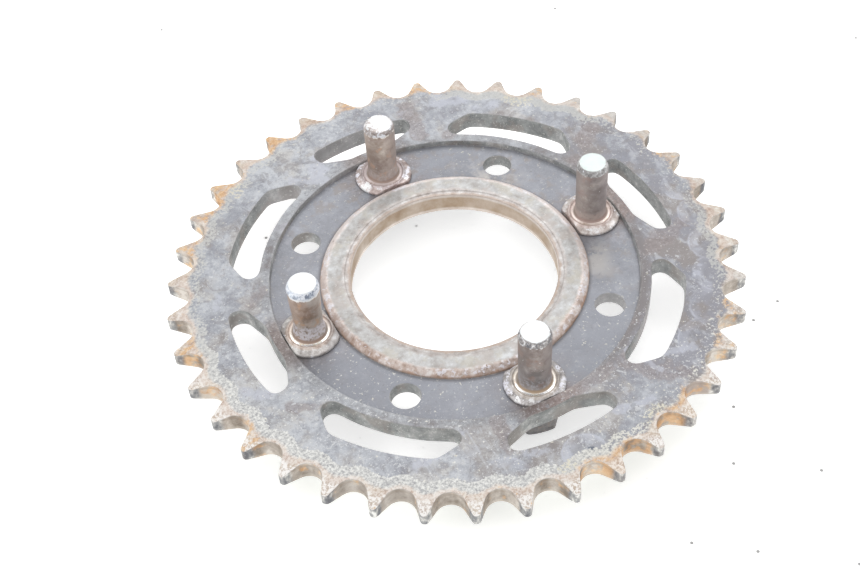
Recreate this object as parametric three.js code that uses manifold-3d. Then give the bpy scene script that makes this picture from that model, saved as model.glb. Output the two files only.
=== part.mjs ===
// Rear sprocket for a light motorcycle: a toothed steel disc with four drive pins,
// each pin held from behind by a plain washer, a spring washer and a hex nut.
// Millimetres. +Z is the sprocket axis and points the way the drive pins stand.
// The origin is on the axis, in the plane of the four pin tails that the part stands on.
import * as THREE from 'three';
import { mergeVertices } from 'three/addons/utils/BufferGeometryUtils.js';
import Module from 'manifold-3d';

// ---- driving dimensions ---------------------------------------------------
const TEETH = 39;
const PITCH = 12.7;                       // chain pitch
const SEAT_R = 4.1;                       // worn roller seat radius
const SEAT_CENTRE_R = 78.8;               // radius of the seat centres (pitch radius 78.9)
const SEAT_HALF_ANGLE = 64.6;             // degrees of roller seat each side of its middle
const TIP_R = 81.65;                      // tooth tip radius
const TAPER_START_R = 76.8;               // tooth sides start to thin here
const TAPER_DEPTH = 1.2;                  // thinning of each side at the tip
const TOOTH_PHASE = 5.6;                  // angle of the first tooth tip from the first pin
const PLATE_T = 5.9;                      // plate thickness
const BORE_R = 29.36;                     // hub bore
const BOSS_R = 38.0;                      // raised boss round the bore, pin side
const BOSS_TOP = 0.15;                    // boss stands this far above the toothed rim
const BACK_BOSS_R = 36.4;
const BACK_BOSS = 0.7;                    // boss stands this far behind the back face
const STEP_R = 52.3;                      // outer wall of the shallow ring recess
const STEP_DEPTH = 1.8;                   // depth of the ring recess
const PIN_PCD_R = 44.95;                  // pins and plain holes sit on this radius
const HOLE_R = 4.15;                      // eight holes; four carry pins
const SLOT_OUT_R = 64.7;
const SLOT_IN_R = 55.35;
const SLOT_PHASE = -0.55;                 // slots are turned this much from the holes
const PIN_SHANK_R = 4.5;
const PIN_TOP = 22.6;                     // above the plate's middle plane
const COLLAR_R = 8.5;
const COLLAR_OUT = 7.0;                   // collar flats, measured from the pin's axis
const COLLAR_IN = 6.6;
const TAIL_R = 3.9;
const TAIL_END = -14.6;                   // below the plate's middle plane
const FLAT_T = 1.6, FLAT_OUT_R = 8.0, FLAT_IN_R = 4.25;       // plain washer
const SPRING_T = 2.0, SPRING_OUT_R = 7.3, SPRING_IN_R = 4.25; // split spring washer
const NUT_AF = 13.0, NUT_H = 6.5, NUT_IN_R = 4.2;
const NUT_TURN = [13, 41, 4, 17.4];       // how each nut happened to stop, degrees
const GAP = 0.05;                         // between touching pieces
const Z0 = -TAIL_END;                     // middle plane of the plate above the origin

const RAD = Math.PI / 180;
const wasm = await Module();
wasm.setup();

// ---- helpers --------------------------------------------------------------
function solid(geometry) {
  let g = geometry.index ? geometry.clone() : geometry.clone();
  for (const name of Object.keys(g.attributes)) if (name !== 'position') g.deleteAttribute(name);
  g = mergeVertices(g, 1e-4);
  const idx = g.index.array, tri = [];
  for (let i = 0; i < idx.length; i += 3) {
    const [a, b, c] = [idx[i], idx[i + 1], idx[i + 2]];
    if (a !== b && b !== c && a !== c) tri.push(a, b, c);
  }
  return new wasm.Manifold(new wasm.Mesh({
    numProp: 3,
    vertProperties: new Float32Array(g.attributes.position.array),
    triVerts: new Uint32Array(tri),
  }));
}

function geometry(manifold) {
  const mesh = manifold.getMesh(), n = mesh.numProp;
  const pos = new Float32Array((mesh.vertProperties.length / n) * 3);
  for (let i = 0, j = 0; i < mesh.vertProperties.length; i += n, j += 3) {
    pos[j] = mesh.vertProperties[i];
    pos[j + 1] = mesh.vertProperties[i + 1];
    pos[j + 2] = mesh.vertProperties[i + 2];
  }
  const g = new THREE.BufferGeometry();
  g.setAttribute('position', new THREE.BufferAttribute(pos, 3));
  g.setIndex(new THREE.BufferAttribute(new Uint32Array(mesh.triVerts), 1));
  g.computeVertexNormals();
  return g;
}

// turned piece about +Z from a list of [radius, height], outside first from the top down
function turned(profile, segments) {
  const g = new THREE.LatheGeometry(profile.map(([r, z]) => new THREE.Vector2(r, z)), segments);
  g.rotateX(Math.PI / 2);
  return g;
}

function prism(shape, z0, z1) {
  const g = new THREE.ExtrudeGeometry(shape, { depth: z1 - z0, bevelEnabled: false, steps: 1, curveSegments: 1 });
  g.translate(0, 0, z0);
  return g;
}

// round the corners of a closed polygon; each corner is [x, y, radius]
function rounded(corners, steps) {
  const out = [];
  const n = corners.length;
  for (let i = 0; i < n; i++) {
    const [x, y, r] = corners[i];
    const p = new THREE.Vector2(x, y);
    if (!r) { out.push(p); continue; }
    const a = new THREE.Vector2(...corners[(i + n - 1) % n]).sub(p).normalize();
    const b = new THREE.Vector2(...corners[(i + 1) % n]).sub(p).normalize();
    const half = Math.acos(THREE.MathUtils.clamp(a.dot(b), -1, 1)) / 2;
    const t = r / Math.tan(half);
    const c = a.clone().add(b).normalize().multiplyScalar(r / Math.sin(half)).add(p);
    const s = a.clone().multiplyScalar(t).add(p).sub(c), e = b.clone().multiplyScalar(t).add(p).sub(c);
    const a0 = Math.atan2(s.y, s.x);
    let d = Math.atan2(e.y, e.x) - a0;
    while (d > Math.PI) d -= 2 * Math.PI;
    while (d < -Math.PI) d += 2 * Math.PI;
    for (let k = 0; k <= steps; k++) {
      const q = a0 + (d * k) / steps;
      out.push(new THREE.Vector2(c.x + r * Math.cos(q), c.y + r * Math.sin(q)));
    }
  }
  return out;
}

const turn = (p, a) => new THREE.Vector2(p.x * Math.cos(a) - p.y * Math.sin(a), p.x * Math.sin(a) + p.y * Math.cos(a));
const ring = (r, n, cx = 0, cy = 0) => Array.from({ length: n }, (_, k) =>
  new THREE.Vector2(cx + r * Math.cos((2 * Math.PI * k) / n), cy + r * Math.sin((2 * Math.PI * k) / n)));

// ---- toothed outline ------------------------------------------------------
function toothOutline() {
  const pts = [];
  const step = 360 / TEETH, a = SEAT_HALF_ANGLE * RAD;
  // one gap, symmetric about +X, from its lower tooth tip to its upper one
  const gap = [];
  for (let k = -3; k <= 3; k++) {
    const q = (a * k) / 3;
    gap.push([SEAT_CENTRE_R - SEAT_R * Math.cos(q), SEAT_R * Math.sin(q)]);
  }
  // straight flank from the seat's end to the tip circle
  const [fx, fy] = gap[gap.length - 1];
  let x = fx, y = fy;
  while (Math.hypot(x, y) < TIP_R) { x += 0.001 * Math.sin(a); y += 0.001 * Math.cos(a); }
  gap.push([x, y]);
  gap.unshift([x, -y]);
  for (let t = 0; t < TEETH; t++) {
    const mid = (TOOTH_PHASE + step * (t + 0.5)) * RAD;
    for (const [gx, gy] of gap) pts.push(turn(new THREE.Vector2(gx, gy), mid));
  }
  return pts;
}

// ---- lightening slots, drawn about +X and then turned ----------------------
// wide slot beside each plain hole: broad at the bore side, its ends lean inwards
function wideSlot() {
  const endR = 2.85, ec = [58.2 * Math.cos(16.45 * RAD), 58.2 * Math.sin(16.45 * RAD)];
  const lean = 30.8 * RAD;                               // slope of the end from the slot's own axis
  const half = [];                                       // upper half, from the outer middle to the inner middle
  for (const h of [0, 4.5, 9, 12.9]) half.push([SLOT_OUT_R * Math.cos(h * RAD), SLOT_OUT_R * Math.sin(h * RAD)]);
  half.push([SLOT_OUT_R * Math.cos(13.9 * RAD) - 0.55, SLOT_OUT_R * Math.sin(13.9 * RAD) - 0.15]);
  const start = 90 * RAD - lean, stop = (180 + 16.45) * RAD;
  for (let k = 0; k <= 6; k++) {
    const q = start + ((stop - start) * k) / 6;
    half.push([ec[0] + endR * Math.cos(q), ec[1] + endR * Math.sin(q)]);
  }
  for (const h of [11.2, 5.6, 0]) half.push([SLOT_IN_R * Math.cos(h * RAD), SLOT_IN_R * Math.sin(h * RAD)]);
  const lower = half.slice(1, -1).reverse().map(([x, y]) => [x, -y]);
  return [...half, ...lower].map(([x, y]) => new THREE.Vector2(x, y));
}
// narrow slot beside each pin: its bore side is cut back to leave metal round the pin
function narrowSlot() {
  const c = [];
  for (const h of [-14.9, -9, -3, 3, 9, 14.9]) {
    const r = SLOT_OUT_R / Math.cos(Math.abs(h) > 14 ? 0 : 2.9 * RAD);
    c.push([r * Math.cos(h * RAD), r * Math.sin(h * RAD), Math.abs(h) > 14 ? 2.5 : 0]);
  }
  const end = [59.35 * Math.cos(14.9 * RAD), 59.35 * Math.sin(14.9 * RAD)];
  c.push([end[0] + 0.35, end[1] - 0.1, 2.0]);
  for (const h of [6.9, 2.3, -2.3, -6.9]) c.push([SLOT_IN_R * Math.cos(h * RAD), SLOT_IN_R * Math.sin(h * RAD), 0]);
  c.push([end[0] + 0.35, -end[1] + 0.1, 2.0]);
  return rounded(c, 4);
}

// ---- sprocket plate -------------------------------------------------------
function sprocketPlate() {
  const h = PLATE_T / 2;
  const shape = new THREE.Shape(toothOutline());
  shape.holes.push(new THREE.Path(ring(BORE_R + 4, 96)));
  const wide = wideSlot(), narrow = narrowSlot();
  for (let k = 0; k < 4; k++) {
    shape.holes.push(new THREE.Path(narrow.map((p) => turn(p, (90 * k + SLOT_PHASE) * RAD))));
    shape.holes.push(new THREE.Path(wide.map((p) => turn(p, (90 * k + 45 + SLOT_PHASE) * RAD))));
  }
  for (let k = 0; k < 8; k++) {
    const q = 45 * k * RAD;
    shape.holes.push(new THREE.Path(ring(HOLE_R, 20, PIN_PCD_R * Math.cos(q), PIN_PCD_R * Math.sin(q))));
  }
  let body = solid(prism(shape, -h, h));
  // teeth thin towards their tips on both sides
  const far = TIP_R + 3, drop = (TAPER_DEPTH * (far - TAPER_START_R)) / (TIP_R - TAPER_START_R);
  body = body.intersect(solid(turned([
    [0, -h - 0.5], [TAPER_START_R - 2.021, -h - 0.5], [TAPER_START_R - 2.02, -h - 0.5],
    [far, -h + drop], [far, h - drop], [TAPER_START_R - 2.02, h + 0.5], [0, h + 0.5],
  ].filter((p, i) => i !== 1), TEETH * 2).rotateZ((TOOTH_PHASE + 90 / TEETH) * RAD)));
  // shallow ring recess on the pin side
  body = body.subtract(solid(turned([
    [BOSS_R - 1.5, h - STEP_DEPTH], [STEP_R, h - STEP_DEPTH], [STEP_R, h + 1], [BOSS_R - 1.5, h + 1], [BOSS_R - 1.5, h - STEP_DEPTH],
  ], 96)));
  // boss round the bore, with a chamfered outer edge and a small lead-in at the bore
  const top = h + BOSS_TOP, bottom = -h - BACK_BOSS;
  body = body.add(solid(turned([
    [BORE_R, bottom + 0.4], [BORE_R + 0.4, bottom], [BACK_BOSS_R - 0.4, bottom], [BACK_BOSS_R, bottom + 0.4],
    [BACK_BOSS_R, -h + 1], [BOSS_R, -h + 2], [BOSS_R, top - 1.0], [BOSS_R - 1.5, top],
    [BORE_R + 1.7, top], [BORE_R + 1.5, top - 0.25], [BORE_R, top - 0.25], [BORE_R, bottom + 0.4],
  ], 96)));
  return geometry(body);
}

// ---- drive pin: shank, flatted collar and threaded tail in one piece --------
function drivePin() {
  const seat = PLATE_T / 2 - STEP_DEPTH + GAP;
  const pin = solid(turned([
    [0, TAIL_END], [TAIL_R - 0.7, TAIL_END], [TAIL_R, TAIL_END + 0.7], [TAIL_R, seat], [COLLAR_R, seat],
    [COLLAR_R, seat + 1.0], [6.7, seat + 1.5], [6.5, seat + 1.9], [6.1, seat + 1.9], [5.9, seat + 1.67],
    [5.1, seat + 1.67], [PIN_SHANK_R + 0.15, seat + 2.1], [PIN_SHANK_R, seat + 2.9], [PIN_SHANK_R, PIN_TOP - 1.4], [PIN_SHANK_R - 0.7, PIN_TOP], [0, PIN_TOP],
  ], 24));
  const cut = new THREE.BoxGeometry(COLLAR_IN + COLLAR_OUT, 40, 60);
  cut.translate((COLLAR_OUT - COLLAR_IN) / 2, 0, 0);
  return geometry(pin.intersect(solid(cut)));
}

// ---- washers ------------------------------------------------------------------
function flatWasher() {
  const shape = new THREE.Shape(ring(FLAT_OUT_R, 28));
  shape.holes.push(new THREE.Path(ring(FLAT_IN_R, 28)));
  return prism(shape, 0, FLAT_T - GAP);
}
function springWasher() {
  const gap = 5.5 * RAD, n = 28, pts = [];
  for (let k = 0; k <= n; k++) {
    const q = gap + ((2 * Math.PI - 2 * gap) * k) / n;
    pts.push(new THREE.Vector2(SPRING_OUT_R * Math.cos(q), SPRING_OUT_R * Math.sin(q)));
  }
  for (let k = n; k >= 0; k--) {
    const q = gap * 1.6 + ((2 * Math.PI - 3.2 * gap) * k) / n;
    pts.push(new THREE.Vector2(SPRING_IN_R * Math.cos(q), SPRING_IN_R * Math.sin(q)));
  }
  return prism(new THREE.Shape(pts), 0, SPRING_T - GAP);
}

// ---- hex nut ------------------------------------------------------------------
function hexNut() {
  const hex = new THREE.CylinderGeometry(NUT_AF / 2 / Math.cos(30 * RAD), NUT_AF / 2 / Math.cos(30 * RAD), NUT_H, 6);
  hex.rotateX(Math.PI / 2);
  const h = NUT_H / 2, corner = NUT_AF / 2 / Math.cos(30 * RAD) + 0.02, flat = NUT_AF / 2 - 0.3;
  const chamfer = (corner - flat) * Math.tan(30 * RAD);
  let nut = solid(hex).intersect(solid(turned([
    [0, -h], [flat, -h], [corner, -h + chamfer], [corner, h - chamfer], [flat, h], [0, h],
  ], 24)));
  nut = nut.subtract(solid(turned([
    [0, -h - 1], [NUT_IN_R + 1.5, -h - 1], [NUT_IN_R, -h + 0.5], [NUT_IN_R, h - 0.5], [NUT_IN_R + 1.5, h + 1], [0, h + 1],
  ], 20)));
  return geometry(nut);
}

// ---- assembly -----------------------------------------------------------------
const rimSteel = new THREE.MeshStandardMaterial({ color: 0x8a8c92, roughness: 0.62, metalness: 0.75 });
const pinSteel = new THREE.MeshStandardMaterial({ color: 0x7a6a5c, roughness: 0.5, metalness: 0.8 });
const washerSteel = new THREE.MeshStandardMaterial({ color: 0x5d5a58, roughness: 0.6, metalness: 0.7 });
const nutSteel = new THREE.MeshStandardMaterial({ color: 0x6b6763, roughness: 0.55, metalness: 0.75 });

const group = new THREE.Group();
const assembly = new THREE.Group();
assembly.position.z = Z0;
group.add(assembly);

function place(name, geo, material, parent, x = 0, y = 0, z = 0, rot = 0) {
  const mesh = new THREE.Mesh(geo, material.clone());
  mesh.name = name;
  mesh.position.set(x, y, z);
  mesh.rotation.z = rot;
  parent.add(mesh);
  return mesh;
}

place('sprocket_plate', sprocketPlate(), rimSteel, assembly);
const backFace = -PLATE_T / 2;
for (let k = 0; k < 4; k++) {
  const q = 90 * k * RAD, x = PIN_PCD_R * Math.cos(q), y = PIN_PCD_R * Math.sin(q);
  place(`drive_pin_${k + 1}`, drivePin(), pinSteel, assembly, x, y, 0, q);
  place(`plain_washer_${k + 1}`, flatWasher(), washerSteel, assembly, x, y, backFace - FLAT_T, q);
  place(`spring_washer_${k + 1}`, springWasher(), washerSteel, assembly, x, y, backFace - FLAT_T - SPRING_T, q + (70 + 50 * k) * RAD);
  place(`hex_nut_${k + 1}`, hexNut(), nutSteel, assembly, x, y, backFace - FLAT_T - SPRING_T - GAP - NUT_H / 2, q + NUT_TURN[k] * RAD);
}

export default group;
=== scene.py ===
import math

import bmesh
import bpy
import numpy as np
from mathutils import Matrix, Vector, noise
from mathutils.geometry import delaunay_2d_cdt


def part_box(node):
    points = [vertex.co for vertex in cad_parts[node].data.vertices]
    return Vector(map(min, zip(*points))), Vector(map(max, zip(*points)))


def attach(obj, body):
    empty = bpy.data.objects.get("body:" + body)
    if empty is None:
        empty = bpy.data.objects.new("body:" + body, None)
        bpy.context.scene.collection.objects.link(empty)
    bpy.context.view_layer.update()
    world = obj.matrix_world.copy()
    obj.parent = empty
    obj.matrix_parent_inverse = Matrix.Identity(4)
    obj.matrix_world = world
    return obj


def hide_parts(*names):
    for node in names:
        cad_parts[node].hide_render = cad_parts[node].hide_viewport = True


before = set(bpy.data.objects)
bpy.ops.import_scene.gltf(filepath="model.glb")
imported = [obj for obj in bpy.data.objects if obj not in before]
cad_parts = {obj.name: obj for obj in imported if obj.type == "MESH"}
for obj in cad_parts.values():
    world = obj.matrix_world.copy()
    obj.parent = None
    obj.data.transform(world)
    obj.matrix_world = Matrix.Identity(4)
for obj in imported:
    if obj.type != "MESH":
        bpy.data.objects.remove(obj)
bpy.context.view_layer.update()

RAD = math.pi / 180
MM = 0.001

# ---------------------------------------------------------------------------
# dimensions, in millimetres; heights are from the plate's middle plane
# ---------------------------------------------------------------------------
TEETH = 39
SEAT_R, SEAT_CENTRE_R, SEAT_HALF_ANGLE = 4.1, 78.8, 64.6
TIP_R, TAPER_START_R, TAPER_DEPTH, TOOTH_PHASE = 81.65, 76.8, 1.2, 5.6
HALF_T = 2.95
BORE_R, HOLE_R = 29.36, 4.15
BOSS_TOP, BACK_BOSS = 0.15, 0.7
STEP_DEPTH = 1.8
SLOT_OUT_R, SLOT_IN_R, SLOT_PHASE = 64.7, 55.35, -0.55
GAP = 0.05

plate_lo, plate_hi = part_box("sprocket_plate")
Z0 = plate_lo.z / MM + HALF_T + BACK_BOSS
PIN_XY = []
for k in range(4):
    lo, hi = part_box(f"plain_washer_{k + 1}")
    PIN_XY.append(((lo.x + hi.x) / 2 / MM, (lo.y + hi.y) / 2 / MM))
PIN_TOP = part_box("drive_pin_1")[1].z / MM - Z0
TAIL_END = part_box("drive_pin_1")[0].z / MM - Z0
WEB_Z = HALF_T - STEP_DEPTH


def noise3(p, f, seed=0.0):
    return noise.noise(Vector((p[0] * f + seed, p[1] * f - seed * 0.7, p[2] * f + seed * 1.3)))


def smoothstep(a, b, x):
    t = np.clip((np.asarray(x, float) - a) / (b - a), 0, 1)
    return t * t * (3 - 2 * t)


# ---------------------------------------------------------------------------
# outlines
# ---------------------------------------------------------------------------
def resample(points, step, n=None):
    p = np.asarray(points, float)
    q = np.vstack([p, p[:1]])
    s = np.r_[0, np.cumsum(np.hypot(*np.diff(q, axis=0).T))]
    n = n or max(12, int(round(s[-1] / step)))
    t = np.linspace(0, s[-1], n, endpoint=False)
    return np.c_[np.interp(t, s, q[:, 0]), np.interp(t, s, q[:, 1])]


def soften(p, times):
    for _ in range(times):
        p = 0.25 * np.roll(p, 1, 0) + 0.5 * p + 0.25 * np.roll(p, -1, 0)
    return p


def out_normals(p):
    """Unit normals that point out of a counter-clockwise outline."""
    t = np.roll(p, -1, 0) - np.roll(p, 1, 0)
    n = np.c_[t[:, 1], -t[:, 0]]
    return n / np.linalg.norm(n, axis=1)[:, None]


def turned(p, deg):
    c, s = math.cos(deg * RAD), math.sin(deg * RAD)
    p = np.asarray(p, float)
    return np.c_[p[:, 0] * c - p[:, 1] * s, p[:, 0] * s + p[:, 1] * c]


def circle(r, n, cx=0.0, cy=0.0):
    a = np.arange(n) * 2 * math.pi / n
    return np.c_[cx + r * np.cos(a), cy + r * np.sin(a)]


def rounded(corners, steps):
    out, n = [], len(corners)
    for i in range(n):
        x, y, r = corners[i]
        p = np.array([x, y])
        if not r:
            out.append(p)
            continue
        a = np.array(corners[i - 1][:2]) - p
        b = np.array(corners[(i + 1) % n][:2]) - p
        a /= np.linalg.norm(a)
        b /= np.linalg.norm(b)
        half = math.acos(max(-1, min(1, a @ b))) / 2
        m = (a + b) / np.linalg.norm(a + b)
        c = p + m * r / math.sin(half)
        s, e = p + a * r / math.tan(half) - c, p + b * r / math.tan(half) - c
        a0 = math.atan2(s[1], s[0])
        d = math.atan2(e[1], e[0]) - a0
        while d > math.pi:
            d -= 2 * math.pi
        while d < -math.pi:
            d += 2 * math.pi
        for k in range(steps + 1):
            out.append(c + r * np.array([math.cos(a0 + d * k / steps), math.sin(a0 + d * k / steps)]))
    return np.array(out)


rng = np.random.default_rng(39)
TIP_WEAR = rng.uniform(0.0, 0.22, TEETH)          # each tooth has worn a little differently
LEAN = rng.uniform(-0.10, 0.10, TEETH)
SEAT_WEAR = rng.uniform(-0.04, 0.10, TEETH)


def tooth_outline():
    """One counter-clockwise outline round all the teeth, the same number of points for each."""
    pitch, a = 360 / TEETH, SEAT_HALF_ANGLE * RAD
    pts = []
    for t in range(TEETH):
        mid = (TOOTH_PHASE + pitch * (t + 0.5)) * RAD
        r = SEAT_R + SEAT_WEAR[t] * 0.5
        cx = SEAT_CENTRE_R - SEAT_WEAR[t] * 0.3
        gap = [(cx - r * math.cos(q), r * math.sin(q)) for q in np.linspace(-a, a, 25)]

        def flank(start, sign, tip_r):
            x, y = start
            while math.hypot(x, y) < tip_r:
                x += 0.01 * math.sin(a)
                y += sign * 0.01 * math.cos(a)
            return x, y

        low_tip = TIP_R - TIP_WEAR[t]
        high_tip = TIP_R - TIP_WEAR[(t + 1) % TEETH]
        lo_c, hi_c = flank(gap[0], -1, low_tip), flank(gap[-1], 1, high_tip)
        lo_c = (lo_c[0], lo_c[1] + LEAN[t])
        hi_c = (hi_c[0], hi_c[1] + LEAN[(t + 1) % TEETH])
        run = [lo_c] + gap + [hi_c]
        run = np.array(run)
        c, s = math.cos(mid), math.sin(mid)
        pts.extend(np.c_[run[:, 0] * c - run[:, 1] * s, run[:, 0] * s + run[:, 1] * c])
    p = resample(np.array(pts), 0, TEETH * 44)
    return soften(p, 3)


def wide_slot():
    """Beside a plain hole: broad at the bore side, its ends lean inwards."""
    end_r, ec, lean = 2.85, (58.2 * math.cos(16.45 * RAD), 58.2 * math.sin(16.45 * RAD)), 30.8 * RAD
    half = [(SLOT_OUT_R * math.cos(h * RAD), SLOT_OUT_R * math.sin(h * RAD)) for h in np.linspace(0, 12.9, 24)]
    half.append((SLOT_OUT_R * math.cos(13.9 * RAD) - 0.55, SLOT_OUT_R * math.sin(13.9 * RAD) - 0.15))
    for q in np.linspace(90 * RAD - lean, (180 + 16.45) * RAD, 22):
        half.append((ec[0] + end_r * math.cos(q), ec[1] + end_r * math.sin(q)))
    half += [(SLOT_IN_R * math.cos(h * RAD), SLOT_IN_R * math.sin(h * RAD)) for h in np.linspace(11.2, 0, 20)]
    lower = [(x, -y) for x, y in half[1:-1][::-1]]
    return soften(resample(half + lower, 0.4), 10)


def narrow_slot():
    """Beside a pin: its bore side is cut back to leave metal round the pin."""
    c = []
    for h in np.linspace(-14.9, 14.9, 31):
        edge = abs(h) > 14.8
        c.append((SLOT_OUT_R * math.cos(h * RAD), SLOT_OUT_R * math.sin(h * RAD), 2.3 if edge else 0))
    c = [p for p in c if p[2] or abs(math.atan2(p[1], p[0])) < 12.3 * RAD]
    end = (59.35 * math.cos(14.9 * RAD), 59.35 * math.sin(14.9 * RAD))
    c.append((end[0] + 0.35, end[1] - 0.1, 2.0))
    c += [(SLOT_IN_R * math.cos(h * RAD), SLOT_IN_R * math.sin(h * RAD), 0) for h in np.linspace(6.9, -6.9, 13)]
    c.append((end[0] + 0.35, -end[1] + 0.1, 2.0))
    return soften(resample(rounded(c, 12), 0.4), 12)


def inside(q, poly):
    x, y = q[:, 0], q[:, 1]
    x1, y1 = poly[:, 0], poly[:, 1]
    x2, y2 = np.roll(x1, -1), np.roll(y1, -1)
    dy = np.where(np.abs(y2 - y1) < 1e-12, 1e-12, y2 - y1)
    hit = np.zeros(len(q), bool)
    lo, hi = poly.min(0), poly.max(0)
    near = np.where((x >= lo[0]) & (x <= hi[0]) & (y >= lo[1]) & (y <= hi[1]))[0]
    for b in range(0, len(near), 1500):
        i = near[b:b + 1500]
        yy, xx = y[i][:, None], x[i][:, None]
        cross = ((y1 > yy) != (y2 > yy)) & (xx < (x2 - x1) * (yy - y1) / dy + x1)
        hit[i] = cross.sum(1) % 2 == 1
    return hit


def far_from(q, pts, d):
    """Which points of q are further than d from every point of pts."""
    keep = np.ones(len(q), bool)
    for b in range(0, len(q), 1500):
        diff = q[b:b + 1500, None, :] - pts[None, :, :]
        keep[b:b + 1500] = ((diff ** 2).sum(2).min(1)) > d * d
    return keep


# ---------------------------------------------------------------------------
# sprocket plate
# ---------------------------------------------------------------------------
def taper(r):
    """How far each side has drawn in at radius r, with a soft start."""
    s = TAPER_DEPTH / (TIP_R - TAPER_START_R)
    x = np.asarray(r, float) - TAPER_START_R
    w = 0.8
    return s * np.where(x < -w, 0, np.where(x > w, x, (x + w) ** 2 / (4 * w)))


RIM, BOSS = HALF_T, HALF_T + BOSS_TOP
# (radius, height, how wavy the edge is) from the bore outwards
FRONT = [
    (30.78, BOSS - 0.25, 0.0), (30.86, BOSS - 0.22, 0.03), (30.98, BOSS - 0.07, 0.05), (31.08, BOSS, 0.05),
    (31.5, BOSS, 0.0),
    (36.0, BOSS, 0.0), (36.3, BOSS - 0.03, 0.12), (36.5, BOSS - 0.13, 0.12), (36.95, BOSS - 0.42, 0.10),
    (37.4, BOSS - 0.74, 0.08), (37.75, BOSS - 1.04, 0.06), (37.95, BOSS - 1.28, 0.05), (38.02, BOSS - 1.5, 0.0),
    (38.06, WEB_Z + 0.34, 0.0), (38.14, WEB_Z + 0.14, 0.0), (38.3, WEB_Z + 0.04, 0.0), (38.55, WEB_Z, 0.0),
    (51.85, WEB_Z, 0.0), (52.05, WEB_Z + 0.03, 0.0), (52.2, WEB_Z + 0.13, 0.0), (52.26, WEB_Z + 0.32, 0.0),
    (52.29, RIM - 0.22, 0.0), (52.36, RIM - 0.08, 0.05), (52.5, RIM - 0.02, 0.06), (52.75, RIM, 0.05),
]
BACK = [
    (36.0, -RIM - BACK_BOSS, 0.0), (36.2, -RIM - BACK_BOSS + 0.05, 0.03), (36.35, -RIM - BACK_BOSS + 0.18, 0.03),
    (36.42, -RIM - 0.2, 0.0), (36.48, -RIM - 0.06, 0.0), (36.62, -RIM, 0.0),
]
FRONT_R, FRONT_Z = [0.0] + [p[0] for p in FRONT], [BOSS - 0.25] + [p[1] for p in FRONT]
BACK_R, BACK_Z = [0.0] + [p[0] for p in BACK], [-RIM - BACK_BOSS] + [p[1] for p in BACK]


def front_z(r):
    return np.interp(r, FRONT_R, FRONT_Z) - taper(r)


def back_z(r):
    return np.interp(r, BACK_R, BACK_Z) + taper(r)


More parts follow.
